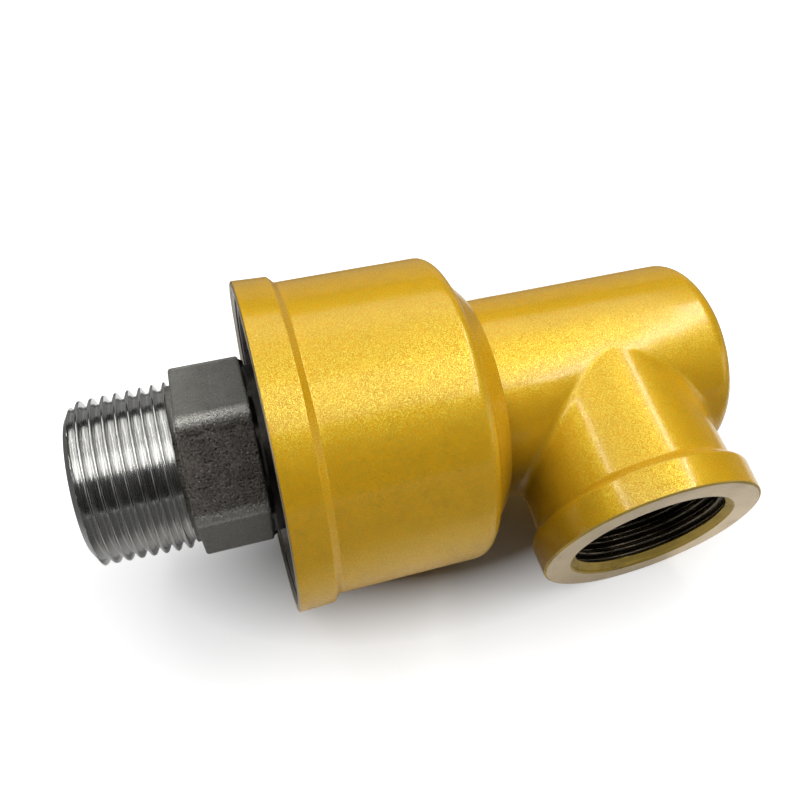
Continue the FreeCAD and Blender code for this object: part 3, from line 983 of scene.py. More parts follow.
class NodeSheet:
    """Adds nodes to one node tree and links them."""

    def __init__(self, tree: bpy.types.NodeTree) -> None:
        """Keeps the tree."""
        self.tree = tree

    def add(self, kind: str, **settings: object) -> bpy.types.Node:
        """Adds a node.

        Args:
            kind: The node's type name.
            **settings: The node's own properties.

        Returns:
            The node.
        """
        node = self.tree.nodes.new(kind)
        for name, value in settings.items():
            setattr(node, name, value)
        return node

    def feed(self, socket: bpy.types.NodeSocket, value: object) -> None:
        """Sets a socket to a number or colour, or links another socket to it.

        Args:
            socket: An input socket.
            value: A number, a colour or an output socket.
        """
        if isinstance(value, bpy.types.NodeSocket):
            self.tree.links.new(value, socket)
        else:
            socket.default_value = value

    def math(self, operation: str, *values: object) -> bpy.types.NodeSocket:
        """A sum on numbers or sockets.

        Args:
            operation: The sum's name.
            *values: Numbers or sockets.

        Returns:
            The result.
        """
        node = self.add("ShaderNodeMath", operation=operation)
        for socket, value in zip(node.inputs, values):
            self.feed(socket, value)
        return node.outputs[0]

    def vector(self, operation: str, *values: object) -> bpy.types.NodeSocket:
        """A sum on vectors; a product that is one number comes from the second output.

        Args:
            operation: The sum's name.
            *values: Vectors, numbers or sockets.

        Returns:
            The result.
        """
        node = self.add("ShaderNodeVectorMath", operation=operation)
        places = (0, 3) if operation == "SCALE" else (0, 1)
        for place, value in zip(places, values):
            self.feed(node.inputs[place], value)
        return node.outputs[1 if operation in ("DOT_PRODUCT", "LENGTH") else 0]

    def noise(self, where: bpy.types.NodeSocket, size: object, detail: float = 3.0,
              rough: float = 0.5) -> bpy.types.NodeSocket:
        """Cloudy noise from 0 to 1, whose clouds are size millimetres wide.

        Args:
            where: The point that is coloured.
            size: The clouds' width.
            detail: How many finer layers lie on the clouds.
            rough: How strong each finer layer is.

        Returns:
            The noise.
        """
        node = self.add("ShaderNodeTexNoise", noise_dimensions="3D")
        self.feed(node.inputs["Vector"], where)
        self.feed(node.inputs["Scale"], self.per_metre(size))
        self.feed(node.inputs["Detail"], detail)
        self.feed(node.inputs["Roughness"], rough)
        return node.outputs[0]

    def cells(self, where: bpy.types.NodeSocket, size: object) -> bpy.types.Node:
        """Cells of size millimetres, each with a colour drawn at random.

        Args:
            where: The point that is coloured.
            size: The cells' width.

        Returns:
            The node, with a Color and a Distance output.
        """
        node = self.add("ShaderNodeTexVoronoi", voronoi_dimensions="3D")
        self.feed(node.inputs["Vector"], where)
        self.feed(node.inputs["Scale"], self.per_metre(size))
        return node

    def per_metre(self, size: object) -> object:
        """How many clouds or cells of a size in millimetres go on a metre.

        Args:
            size: A number or a socket.

        Returns:
            A number or a socket.
        """
        if isinstance(size, bpy.types.NodeSocket):
            return self.math("DIVIDE", 1 / MM, size)
        return 1 / (size * MM)

    def blend(self, share: object, first: object, second: object) -> bpy.types.NodeSocket:
        """A colour between two, by a share.

        Args:
            share: How much of the second, from 0 to 1.
            first: A colour or a socket.
            second: A colour or a socket.

        Returns:
            The colour.
        """
        node = self.add("ShaderNodeMix", data_type="RGBA")
        self.feed(node.inputs[0], share)
        self.feed(node.inputs[6], first)
        self.feed(node.inputs[7], second)
        return node.outputs[2]

    def ramp(self, value: object, low: object, high: object, to_low: object = 0.0,
             to_high: object = 1.0) -> bpy.types.NodeSocket:
        """Maps a value from one range to another, held within it.

        Args:
            value: The value.
            low: Where the first range starts.
            high: Where it ends.
            to_low: Where the second range starts.
            to_high: Where it ends.

        Returns:
            The value in the second range.
        """
        node = self.add("ShaderNodeMapRange", clamp=True)
        for socket, number in zip(node.inputs, (value, low, high, to_low, to_high)):
            self.feed(socket, number)
        return node.outputs[0]

    def place(self) -> bpy.types.NodeSocket:
        """The point on the piece, in metres, which moves with the piece."""
        return self.add("ShaderNodeTexCoord").outputs["Object"]

    def bump(self, height: object, depth: object, normal: object = None) -> bpy.types.NodeSocket:
        """A normal bent by a height from 0 to 1 that stands for depth millimetres.

        Args:
            height: The height, from 0 to 1.
            depth: What the height stands for, in mm.
            normal: The normal that is bent, or none for the piece's own.

        Returns:
            The normal.
        """
        node = self.add("ShaderNodeBump")
        self.feed(node.inputs["Height"], height)
        self.feed(node.inputs["Distance"], depth * MM)
        if normal is not None:
            self.feed(node.inputs["Normal"], normal)
        return node.outputs[0]


class Effect(Enum):
    """The surface effects that several finishes share, each one a node group."""

    TURNING_MARKS = "turning_marks"
    CAST_GRAIN = "cast_grain"
    WORN_EDGES = "worn_edges"
    HANDLING = "handling_marks"


class EffectShelf:
    """Builds each shared effect once and places it in materials."""

    INPUTS: dict[Effect, dict[str, object]] = {
        Effect.TURNING_MARKS: {"Origin": (0.0, 0.0, 0.0), "Along": (1.0, 0.0, 0.0), "Pitch": 0.1},
        Effect.CAST_GRAIN: {"Size": 0.5, "Pits": 0.3},
        Effect.WORN_EDGES: {"Size": 0.4, "Amount": 0.5},
        Effect.HANDLING: {"Size": 6.0},
    }
    OUTPUTS: dict[Effect, tuple[str, ...]] = {
        Effect.TURNING_MARKS: ("Height", "Tone"), Effect.CAST_GRAIN: ("Height", "Tone"),
        Effect.WORN_EDGES: ("Mask",), Effect.HANDLING: ("Mask",),
    }
    TONE_SCALE = 0.12  # turning marks change their tone in broader rings than their height
    PIT_SPACING = 1.7  # pits lie this many lumps apart
    PIT_WIDTH = 0.35
    PATCH_SPACING = 9.0  # patches of tone are this many lumps wide
    RAGGEDNESS = 1.5  # how far the grain moves the border of a worn edge
    WEAR_FADE = 0.35
    SMEAR_SIZE = 0.12  # smears are this share of a touched patch
    TOUCHED = (0.42, 0.7)  # noise in this range goes from untouched to touched
    MIDDLE = (0.3, 0.7)  # the range that noise mostly stays in

    def __init__(self) -> None:
        """Starts with no groups built."""
        self.groups: dict[Effect, bpy.types.NodeTree] = {}

    def place(self, sheet: NodeSheet, effect: Effect, **values: object) -> bpy.types.Node:
        """Adds an effect to a material.

        Args:
            sheet: The material's nodes.
            effect: Which effect.
            **values: The group's inputs by their lower-case names.

        Returns:
            The group node, whose outputs are read by name.
        """
        if effect not in self.groups:
            self.groups[effect] = self.build(effect)
        node = sheet.add("ShaderNodeGroup", node_tree=self.groups[effect])
        for name, value in values.items():
            sheet.feed(node.inputs[name.capitalize()], value)
        return node

    def build(self, effect: Effect) -> bpy.types.NodeTree:
        """Makes an effect's node group.

        Args:
            effect: Which effect.

        Returns:
            The group.
        """
        tree = bpy.data.node_groups.new(effect.value, "ShaderNodeTree")
        for name, value in self.INPUTS[effect].items():
            kind = "NodeSocketVector" if isinstance(value, tuple) else "NodeSocketFloat"
            tree.interface.new_socket(name, in_out="INPUT", socket_type=kind).default_value = value
        for name in self.OUTPUTS[effect]:
            tree.interface.new_socket(name, in_out="OUTPUT", socket_type="NodeSocketFloat")
        sheet = NodeSheet(tree)
        given = sheet.add("NodeGroupInput").outputs
        result = sheet.add("NodeGroupOutput").inputs
        maker = {
            Effect.TURNING_MARKS: self.turning_marks, Effect.CAST_GRAIN: self.cast_grain,
            Effect.WORN_EDGES: self.worn_edges, Effect.HANDLING: self.handling,
        }[effect]
        maker(sheet, given, result)
        return tree

    def turning_marks(self, sheet: NodeSheet, given: object, result: object) -> None:
        """Rings that a lathe tool leaves round an axis, on cylinders and on faces alike.

        Args:
            sheet: The group's nodes.
            given: The group's input sockets.
            result: The group's output sockets.
        """
        away = sheet.vector("SUBTRACT", sheet.place(), given["Origin"])
        along = sheet.vector("DOT_PRODUCT", away, given["Along"])
        across = sheet.vector("SUBTRACT", away, sheet.vector("SCALE", given["Along"], along))
        radius = sheet.vector("LENGTH", across)
        run = sheet.math("ADD", along, radius)
        ring = sheet.math("DIVIDE", run, sheet.math("MULTIPLY", given["Pitch"], MM))
        for output, scale in (("Height", 1.0), ("Tone", self.TONE_SCALE)):
            rings = sheet.add("ShaderNodeTexNoise", noise_dimensions="1D")
            sheet.feed(rings.inputs["W"], ring)
            sheet.feed(rings.inputs["Scale"], scale)
            sheet.feed(rings.inputs["Detail"], 2.0)
            sheet.feed(result[output], rings.outputs[0])

    def cast_grain(self, sheet: NodeSheet, given: object, result: object) -> None:
        """The skin of a casting or forging: soft lumps, and pits between them.

        Args:
            sheet: The group's nodes.
            given: The group's input sockets.
            result: The group's output sockets.
        """
        where = sheet.place()
        lumps = sheet.noise(where, given["Size"], detail=4.0, rough=0.6)
        spacing = sheet.math("MULTIPLY", given["Size"], self.PIT_SPACING)
        pits = sheet.cells(where, spacing).outputs["Distance"]
        pit = sheet.math("MULTIPLY", sheet.ramp(pits, 0.0, self.PIT_WIDTH, 1.0, 0.0), given["Pits"])
        sheet.feed(result["Height"], sheet.math("SUBTRACT", lumps, pit))
        broader = sheet.math("MULTIPLY", given["Size"], self.PATCH_SPACING)
        patches = sheet.noise(where, broader, rough=0.55)
        sheet.feed(result["Tone"], sheet.ramp(patches, *self.MIDDLE))

    def worn_edges(self, sheet: NodeSheet, given: object, result: object) -> None:
        """Where edges are rubbed bare: the stored edge closeness, broken up by grain.

        Args:
            sheet: The group's nodes.
            given: The group's input sockets.
            result: The group's output sockets.
        """
        close = sheet.add("ShaderNodeAttribute", attribute_name=EDGE_MARK).outputs["Fac"]
        grain = sheet.noise(sheet.place(), given["Size"], detail=4.0, rough=0.65)
        ragged = sheet.math("MULTIPLY", sheet.math("SUBTRACT", grain, 0.5), self.RAGGEDNESS)
        level = sheet.math("ADD", close, ragged)
        start = sheet.math("SUBTRACT", 1.0, given["Amount"])
        end = sheet.math("ADD", start, self.WEAR_FADE)
        sheet.feed(result["Mask"], sheet.ramp(level, start, end))

    def handling(self, sheet: NodeSheet, given: object, result: object) -> None:
        """Faint patches where hands and oil have dulled a surface.

        Args:
            sheet: The group's nodes.
            given: The group's input sockets.
            result: The group's output sockets.
        """
        where = sheet.place()
        broad = sheet.noise(where, given["Size"], detail=2.0)
        finer = sheet.math("MULTIPLY", given["Size"], self.SMEAR_SIZE)
        fine = sheet.noise(where, finer, rough=0.6)
        touched, smeared = sheet.ramp(broad, *self.TOUCHED), sheet.ramp(fine, *self.MIDDLE)
        sheet.feed(result["Mask"], sheet.math("MULTIPLY", touched, smeared))


def solid(colour: Colour) -> SocketColour:
    """A colour as a socket takes it."""
    return (*colour, 1.0)


def grey(tone: float) -> SocketColour:
    """A grey, as a socket takes it."""
    return solid((tone, tone, tone))


def scaled(colour: Colour, factor: float) -> SocketColour:
    """A lighter or darker colour, as a socket takes it."""
    return solid(tuple(min(1.0, channel * factor) for channel in colour))


def new_material(name: str, values: dict[str, object]) -> tuple[bpy.types.Material, bpy.types.Node]:
    """Makes a material.

    Args:
        name: The material's name.
        values: Numbers and colours of its shader, by the names of their sockets.

    Returns:
        The material and its shader.
    """
    material = bpy.data.materials.new(name)
    material.use_nodes = True
    shader = material.node_tree.nodes["Principled BSDF"]
    for socket, value in values.items():
        shader.inputs[socket].default_value = value
    return material, shader


@dataclass(frozen=True)
class Finish:
    """One material: the shader's own numbers, and what changes over the surface."""

    name: str
    colour: Colour
    metallic: float = 1.0
    roughness: float = 0.3
    specular: float = 0.5
    coat: float = 0.0
    coat_roughness: float = 0.1

    def dress(self, sheet: NodeSheet, shader: bpy.types.Node, shelf: EffectShelf) -> None:
        """Adds what changes over the surface; each kind of finish has its own."""
        raise NotImplementedError

    def material(self, shelf: EffectShelf) -> bpy.types.Material:
        """Makes the material.

        Args:
            shelf: The shared effects.

        Returns:
            The material.
        """
        material, shader = new_material(self.name, {
            "Base Color": solid(self.colour), "Metallic": self.metallic,
            "Roughness": self.roughness, "Specular IOR Level": self.specular,
            "Coat Weight": self.coat, "Coat Roughness": self.coat_roughness})
        self.dress(NodeSheet(material.node_tree), shader, shelf)
        return material


@dataclass(frozen=True)
class FlakePaint(Finish):
    """Gold paint: flat metal flakes of many tilts in a brown-orange lacquer, under a clear coat.

    In the corner of barrel, tube and neck, shade is painted in: there the paint holds fewer flakes
    and is darker.
    """

    flake_colour: Colour = (0.92, 0.8, 0.09)
    flake_size: float = 0.08
    flake_share: float = 0.335
    flake_spread: float = 0.12
    # The flakes' most metal in the open and in full painted shade
    flake_metal: Pair = (0.92, 0.4)
    flake_tones: Pair = (0.85, 1.08)
    flake_gloss: Pair = (0.34, 0.46)
    flake_tilt: float = 0.16
    cloud_size: float = 3.5
    cloud_tones: Pair = (0.85, 1.15)
    # How dark the paint is in full painted shade
    painted_shade_tone: float = 0.25
    peel_size: float = 2.2
    peel_depth: float = 0.006

    def dress(self, sheet: NodeSheet, shader: bpy.types.Node, shelf: EffectShelf) -> None:
        """Gives each flake its own tilt, tone and share of metal.

        Args:
            sheet: The material's nodes.
            shader: Its shader.
            shelf: The shared effects.
        """
        where = sheet.place()
        flakes = sheet.cells(where, self.flake_size)
        draw = sheet.add("ShaderNodeSeparateColor")
        sheet.feed(draw.inputs[0], flakes.outputs["Color"])
        edge = 1 - self.flake_share
        # Painted shade: fewer flakes and a darker colour where the casting's mark says so
        painted_shade = sheet.add("ShaderNodeAttribute", attribute_name=PAINTED_SHADE_MARK).outputs["Fac"]
        most = sheet.ramp(painted_shade, 0.0, 1.0, *self.flake_metal)
        low, high = edge - self.flake_spread, edge + self.flake_spread
        bare = sheet.ramp(draw.outputs[0], low, high, 0.0, most)
        tone = sheet.ramp(draw.outputs[1], 0.0, 1.0, *self.flake_tones)
        flake = sheet.vector("SCALE", self.flake_colour, tone)
        cloud = sheet.noise(where, self.cloud_size, rough=0.6)
        lacquer = sheet.blend(cloud, *(scaled(self.colour, share) for share in self.cloud_tones))
        paint = sheet.blend(bare, lacquer, flake)
        # Painted shade darkens the paint's colour
        painted_shade_darkening = sheet.ramp(painted_shade, 0.0, 1.0, 1.0, self.painted_shade_tone)
        sheet.feed(shader.inputs["Base Color"], sheet.vector("SCALE", paint, painted_shade_darkening))
        sheet.feed(shader.inputs["Metallic"], bare)
        gloss = sheet.ramp(draw.outputs[2], 0.0, 1.0, *self.flake_gloss)
        sheet.feed(shader.inputs["Roughness"], gloss)
        tilt = sheet.vector("SUBTRACT", flakes.outputs["Color"], (0.5, 0.5, 0.5))
        bent = sheet.vector("ADD", sheet.add("ShaderNodeNewGeometry").outputs["Normal"],
                            sheet.vector("SCALE", tilt, self.flake_tilt))
        peel = sheet.noise(where, self.peel_size, detail=2.0)
        normal = sheet.bump(peel, self.peel_depth, sheet.vector("NORMALIZE", bent))
        sheet.feed(shader.inputs["Normal"], normal)


@dataclass(frozen=True)
class TurnedMetal(Finish):
    """Metal cut on a lathe, with the tool's rings round an axis."""

    axis: Axis = Axis()
    pitch: float = 0.09
    mark_depth: float = 0.004
    tones: Pair = (0.82, 1.1)
    rough_edges: Pair = (0.2, 0.8)
    rough_shares: Pair = (0.75, 1.25)
    stain: Colour = (0.3, 0.27, 0.22)
    stain_share: float = 0.25
    stain_rough: float = 0.5

    def dress(self, sheet: NodeSheet, shader: bpy.types.Node, shelf: EffectShelf) -> None:
        """Adds the rings, a tone that changes with them, and dull patches.

        Args:
            sheet: The material's nodes.
            shader: Its shader.
            shelf: The shared effects.
        """
        origin = tuple(length * MM for length in self.axis.origin)
        marks = shelf.place(sheet, Effect.TURNING_MARKS, origin=origin, along=self.axis.along,
                            pitch=self.pitch)
        hands = shelf.place(sheet, Effect.HANDLING)
        dull = sheet.math("MULTIPLY", hands.outputs["Mask"], self.stain_share)
        ring_tone = marks.outputs["Tone"]
        tone = sheet.blend(ring_tone, *(scaled(self.colour, share) for share in self.tones))
        sheet.feed(shader.inputs["Base Color"], sheet.blend(dull, tone, solid(self.stain)))
        rough = sheet.ramp(ring_tone, *self.rough_edges,
                           *(self.roughness * share for share in self.rough_shares))
        duller = sheet.math("MULTIPLY", dull, self.stain_rough)
        sheet.feed(shader.inputs["Roughness"], sheet.math("ADD", rough, duller))
        sheet.feed(shader.inputs["Normal"], sheet.bump(marks.outputs["Height"], self.mark_depth))


@dataclass(frozen=True)
class ForgedSteel(Finish):
    """Dark oxide over a forged skin, rubbed to bright metal along its edges."""

    coarse_colour: Colour = (0.1, 0.088, 0.076)
    bare: Colour = (0.5, 0.49, 0.45)
    grain_size: float = 0.48
    grain_depth: float = 0.5
    grain_pits: float = 0.35
    wear: float = 0.58
    wear_size: float = 0.3
    glint_size: float = 0.3
    glint_edges: Pair = (0.63, 0.73)
    glint_most: float = 0.7
    coarse_edges: Pair = (0.3, 1.0)
    dark_tones: Pair = (0.85, 0.75)
    pale_tones: Pair = (1.15, 1.3)
    pit_edges: Pair = (0.25, 0.58)
    pit_tones: Pair = (0.3, 1.45)
    coarse_metallic: float = 0.6
    bare_metallic: float = 0.9
    rough_shares: Pair = (0.85, 1.15)
    gloss_share: float = 0.38

    def dress(self, sheet: NodeSheet, shader: bpy.types.Node, shelf: EffectShelf) -> None:
        """Adds the forged grain, its patches and the worn edges.

        Args:
            sheet: The material's nodes.
            shader: Its shader.
            shelf: The shared effects.
        """
        grain = shelf.place(sheet, Effect.CAST_GRAIN, size=self.grain_size, pits=self.grain_pits)
        edges = shelf.place(sheet, Effect.WORN_EDGES, size=self.wear_size, amount=self.wear)
        specks = sheet.noise(sheet.place(), self.glint_size, detail=2.0)
        glint = sheet.ramp(specks, *self.glint_edges, 0.0, self.glint_most)
        worn = sheet.math("MAXIMUM", edges.outputs["Mask"], glint)
        coarse = sheet.add("ShaderNodeAttribute", attribute_name=SKIN_MARK).outputs["Fac"]
        stain = sheet.ramp(coarse, *self.coarse_edges)
        patches = grain.outputs["Tone"]
        darker, paler = (
            sheet.blend(stain, scaled(self.colour, smooth), scaled(self.coarse_colour, rough))
            for smooth, rough in (self.dark_tones, self.pale_tones))
        oxide = sheet.blend(patches, darker, paler)
        pits = sheet.ramp(grain.outputs["Height"], *self.pit_edges, *self.pit_tones)
        oxide = sheet.vector("SCALE", oxide, sheet.ramp(coarse, 0.0, 1.0, 1.0, pits))
        sheet.feed(shader.inputs["Base Color"], sheet.blend(worn, oxide, solid(self.bare)))
        gloss = sheet.ramp(stain, 0.0, 1.0, self.metallic, self.coarse_metallic)
        metal = sheet.math("MAXIMUM", gloss, sheet.math("MULTIPLY", worn, self.bare_metallic))
        sheet.feed(shader.inputs["Metallic"], metal)
        rough = sheet.ramp(patches, 0.0, 1.0,
                           *(self.roughness * share for share in self.rough_shares))
        glossy = sheet.math("MAXIMUM", worn, stain)
        smoother = sheet.math("MULTIPLY", glossy, self.roughness * self.gloss_share)
        sheet.feed(shader.inputs["Roughness"], sheet.math("SUBTRACT", rough, smoother))
        rough_skin = sheet.math("MULTIPLY", grain.outputs["Height"], coarse)
        sheet.feed(shader.inputs["Normal"], sheet.bump(rough_skin, self.grain_depth))


@dataclass(frozen=True)
class MouldedSkin(Finish):
    """Rubber, carbon or a plated sheet: a fine even grain with dull patches."""

    grain_size: float = 0.12
    grain_depth: float = 0.01
    grain_pits: float = 0.1
    tones: Pair = (0.8, 1.2)
    dust_size: float = 4.0
    dust_tone: float = 1.6
    dust_rough: float = 1.3

    def dress(self, sheet: NodeSheet, shader: bpy.types.Node, shelf: EffectShelf) -> None:
        """Adds the grain and the patches.

        Args:
            sheet: The material's nodes.
            shader: Its shader.
            shelf: The shared effects.
        """
        grain = shelf.place(sheet, Effect.CAST_GRAIN, size=self.grain_size, pits=self.grain_pits)
        hands = shelf.place(sheet, Effect.HANDLING, size=self.dust_size)
        touched = hands.outputs["Mask"]
        tone = sheet.blend(grain.outputs["Tone"],
                           *(scaled(self.colour, share) for share in self.tones))
        dusty = sheet.blend(touched, tone, scaled(self.colour, self.dust_tone))
        sheet.feed(shader.inputs["Base Color"], dusty)
        roughest = min(1.0, self.roughness * self.dust_rough)
        sheet.feed(shader.inputs["Roughness"],
                   sheet.ramp(touched, 0.0, 1.0, self.roughness, roughest))
        sheet.feed(shader.inputs["Normal"], sheet.bump(grain.outputs["Height"], self.grain_depth))


def flat_piece(name: str, corners: Sequence[Corner],
               material: bpy.types.Material) -> bpy.types.Object:
    """Makes a flat piece of four corners.

    Args:
        name: The piece's name.
        corners: Its corners in millimetres.
        material: Its material.

    Returns:
        The piece, linked to the scene.
    """
    mesh = bpy.data.meshes.new(name)
    mesh.from_pydata([tuple(Vector(corner) * MM) for corner in corners], [], [(0, 1, 2, 3)])
    mesh.materials.append(material)
    piece = bpy.data.objects.new(name, mesh)
    bpy.context.scene.collection.objects.link(piece)
    return piece


def from_oval(sheet: NodeSheet, centre: Pair, size: Pair) -> bpy.types.NodeSocket:
    """How far a point of the floor is from an oval's centre, where 1 is the oval's rim.

    Args:
        sheet: The floor's nodes.
        centre: The oval's centre in millimetres from the part's.
        size: Its half width and half depth in millimetres.

    Returns:
        The distance.
    """
    away = sheet.vector("SUBTRACT", sheet.place(), (*(place * MM for place in centre), 0.0))
    share = sheet.vector("MULTIPLY", away, (*(1 / (half * MM) for half in size), 0.0))
    return sheet.vector("LENGTH", share)


MATT: dict[str, object] = {"Roughness": 1.0, "Specular IOR Level": 0.0}


@dataclass
class Studio:
    """The floor, the light frame over the part, and the camera.

    The floor has two ovals. The shade is the one round the part, where the floor's glow fades out:
    there its real shadow is seen, darkened by a painted shadow. The sheet is the one that the part
    mirrors white, while it mirrors the floor round it dark.
    """

    floor_z: float
    part_centre: Pair = (56.0, 0.0)
    light_centre: Pair = (60.0, -120.0)
    light_height: float = 600.0
    light_width: float = 740.0
    light_depth: float = 690.0
    strip_width: float = 110.0
    light_turn: float = math.radians(-10.5)
    left_glow: float = 7.3
    right_glow: float = 9.8
    front_glow: float = 1.3
    rear_glow: float = 2.4
    panel_glows: tuple[float, ...] = (1.65, 0.75, 1.25)
    surround: float = 0.3
    card_front: float = -430.0
    card_rear: float = 1400.0
    card_wide: float = 3500.0
    front_card_wide: float = 1000.0
    card_black: float = 0.02
    rear_card_grey: float = 0.36
    card_lift: float = 10.0
    rear_card_place: float = 560.0
    rear_card_height: float = 240.0
    floor_reach: float = 3000.0
    floor_white: float = 0.8
    floor_seen: float = 0.4
    floor_mirrored: float = 0.85
    floor_far: float = 0.12
    shade_size: Pair = (72.0, 36.0)
    shade_core: Pair = (0.46, 0.9)
    shade_core_light: float = 0.6
    shade_rim: float = 1.7
    sheet_place: Pair = (30.0, 44.0)
    sheet_size: Pair = (130.0, 98.0)
    sheet_edge: Pair = (0.85, 1.2)
    mirror_far: Pair = (8.0, 20.0)
    lens: float = 36.84
    camera_place: tuple[float, ...] = (10.06076, -124.36677, 113.27456)
    camera_right: tuple[float, ...] = (0.957228, -0.288568, -0.021045)
    camera_up: tuple[float, ...] = (0.201178, 0.611534, 0.765214)
    camera_back: tuple[float, ...] = (-0.207947, -0.736718, 0.643432)

    def lamp(self, name: str, place: Pair, size: Pair, glow: float) -> None:
        """Adds a flat lamp that shines down.

        Args:
            name: The lamp's name.
            place: Its centre in the light frame's own directions.
            size: Its width and depth.
            glow: How bright its face looks, where 1 is white.
        """
        data = bpy.data.lights.new(name, "AREA")
        data.shape = "RECTANGLE"
        data.size, data.size_y = (length * MM for length in size)
        data.energy = glow * math.pi * data.size * data.size_y
        lamp = bpy.data.objects.new(name, data)
        lamp.visible_camera = False
        spot = Matrix.Rotation(self.light_turn, 2) @ Vector(place) + Vector(self.light_centre)
        lamp.location = Vector((*spot, self.light_height)) * MM
        lamp.rotation_euler = (0.0, 0.0, self.light_turn)
        bpy.context.scene.collection.objects.link(lamp)

    def lamps(self) -> None:
        """Adds the three ceiling panels, one behind the other, and the strips round them."""
        half_x, half_y = self.light_width / 2, self.light_depth / 2
        for number, glow in enumerate(self.panel_glows):
            place = (0, half_y * (number - 0.5))
            self.lamp(f"ceiling_panel_{number + 1}", place, (self.light_width, half_y), glow)
        beside = (self.strip_width, self.light_depth)
        across = (self.light_width, self.strip_width)
        for name, place, size, glow in (
                ("strip_left", (-half_x, 0), beside, self.left_glow),
                ("strip_right", (half_x, 0), beside, self.right_glow),
                ("strip_front", (0, -half_y), across, self.front_glow),
                ("strip_rear", (0, half_y), across, self.rear_glow)):
            self.lamp(name, place, size, glow)

    def world(self) -> None:
        """A white surround where it is seen or mirrored, and a dim one where it lights."""
        world = bpy.data.worlds.new("surround")
        world.use_nodes = True
        bpy.context.scene.world = world
        sheet = NodeSheet(world.node_tree)
        path = sheet.add("ShaderNodeLightPath")
        direct, through = path.outputs["Is Camera Ray"], path.outputs["Is Transmission Ray"]
        seen = sheet.math("MAXIMUM", direct, through)
        seen = sheet.math("MAXIMUM", seen, path.outputs["Is Glossy Ray"])
        background = world.node_tree.nodes["Background"]
        sheet.feed(background.inputs["Strength"], sheet.ramp(seen, 0.0, 1.0, self.surround, 1.0))
        background.inputs["Color"].default_value = grey(1.0)

    def card(self, name: str, corners: Sequence[Corner], tone: float) -> None:
        """Adds a dark card, which is mirrored in the part but isn't seen itself.

        Args:
            name: The card's name.
            corners: Its corners in the light frame's own directions, and their heights.
            tone: Its grey, from 0 to 1.
        """
        turn = Matrix.Rotation(self.light_turn, 2)
        centre = Vector(self.light_centre)
        points = [(*(turn @ Vector(corner[:2]) + centre), corner[2]) for corner in corners]
        material, _ = new_material(name, {**MATT, "Base Color": grey(tone)})
        card = flat_piece(name, points, material)
        card.visible_camera = False

    def cards(self) -> None:
        """Adds the black cards before the part and over the lamps, and the grey one behind."""
        near, wide, far = self.card_front, self.card_wide, self.card_rear
        low, top = self.floor_z, self.light_height + self.card_lift
        for name, half, place, high, tone in (
                ("front_card", self.front_card_wide, near, top, self.card_black),
                ("rear_card", wide, self.rear_card_place, self.rear_card_height,
                 self.rear_card_grey)):
            self.card(name, [(-half, place, low), (half, place, low),
                             (half, place, high), (-half, place, high)], tone)
        self.card("upper_card", [(-wide, near, top), (wide, near, top), (wide, far, top),
                                 (-wide, far, top)], self.card_black)

    def floor(self) -> None:
        """A wide white floor that keeps the part's shadow, with a painted shadow in the oval round
        the part, and isn't there from beneath.
        """
        material, shader = new_material("floor_white", MATT)
        reach = self.floor_reach
        floor = flat_piece("studio_floor", [(-reach, -reach, 0), (reach, -reach, 0),
                                            (reach, reach, 0), (-reach, reach, 0)], material)
        floor.location = Vector((*self.part_centre, self.floor_z)) * MM
        sheet = NodeSheet(material.node_tree)
        path = sheet.add("ShaderNodeLightPath")
        seen, mirrored = path.outputs["Is Camera Ray"], path.outputs["Is Glossy Ray"]
        from_sheet = from_oval(sheet, self.sheet_place, self.sheet_size)
        sheet_share = sheet.ramp(from_sheet, *self.sheet_edge, 1.0, 0.0)
        mirror = sheet.blend(sheet_share, grey(self.floor_far), grey(self.floor_mirrored))
        lit = sheet.blend(mirrored, grey(self.floor_white), mirror)
        sheet.feed(shader.inputs["Base Color"], sheet.blend(seen, lit, grey(self.floor_seen)))
        # Painted shadow: the glow that makes the floor white fades out in an oval round the part,
        # on top of its real shadow
        away = from_oval(sheet, (0.0, 0.0), self.shade_size)
        core = sheet.ramp(away, *self.shade_core, 0.0, self.shade_core_light)
        rim = sheet.ramp(away, self.shade_core[1], self.shade_rim, 0.0, 1 - self.shade_core_light)
        glow_outside_painted_shadow = sheet.math("MULTIPLY", seen, sheet.math("ADD", core, rim))
        far = sheet.math("MULTIPLY", mirrored, sheet.ramp(away, *self.mirror_far))
        shader.inputs["Emission Color"].default_value = grey(1.0)
        sheet.feed(shader.inputs["Emission Strength"], sheet.math("ADD", glow_outside_painted_shadow, far))
        underside = sheet.add("ShaderNodeNewGeometry").outputs["Backfacing"]
        sheet.feed(shader.inputs["Alpha"], sheet.math("SUBTRACT", 1.0, underside))

    def camera(self) -> None:
        """The camera at the photograph's place."""
        data = bpy.data.cameras.new("camera")
        data.sensor_width = 36.0
        data.lens = self.lens
        data.clip_start = 0.01
        camera = bpy.data.objects.new("camera", data)
        turn = Matrix((self.camera_right, self.camera_up, self.camera_back)).transposed().to_4x4()
        camera.matrix_world = Matrix.Translation(Vector(self.camera_place) * MM) @ turn
        bpy.context.scene.collection.objects.link(camera)
        bpy.context.scene.camera = camera

    def build(self) -> None:
        """Sets up everything round the part."""
        self.lamps()
        self.cards()
        self.world()
        self.floor()
        self.camera()
        bpy.context.scene.view_settings.view_transform = "Standard"


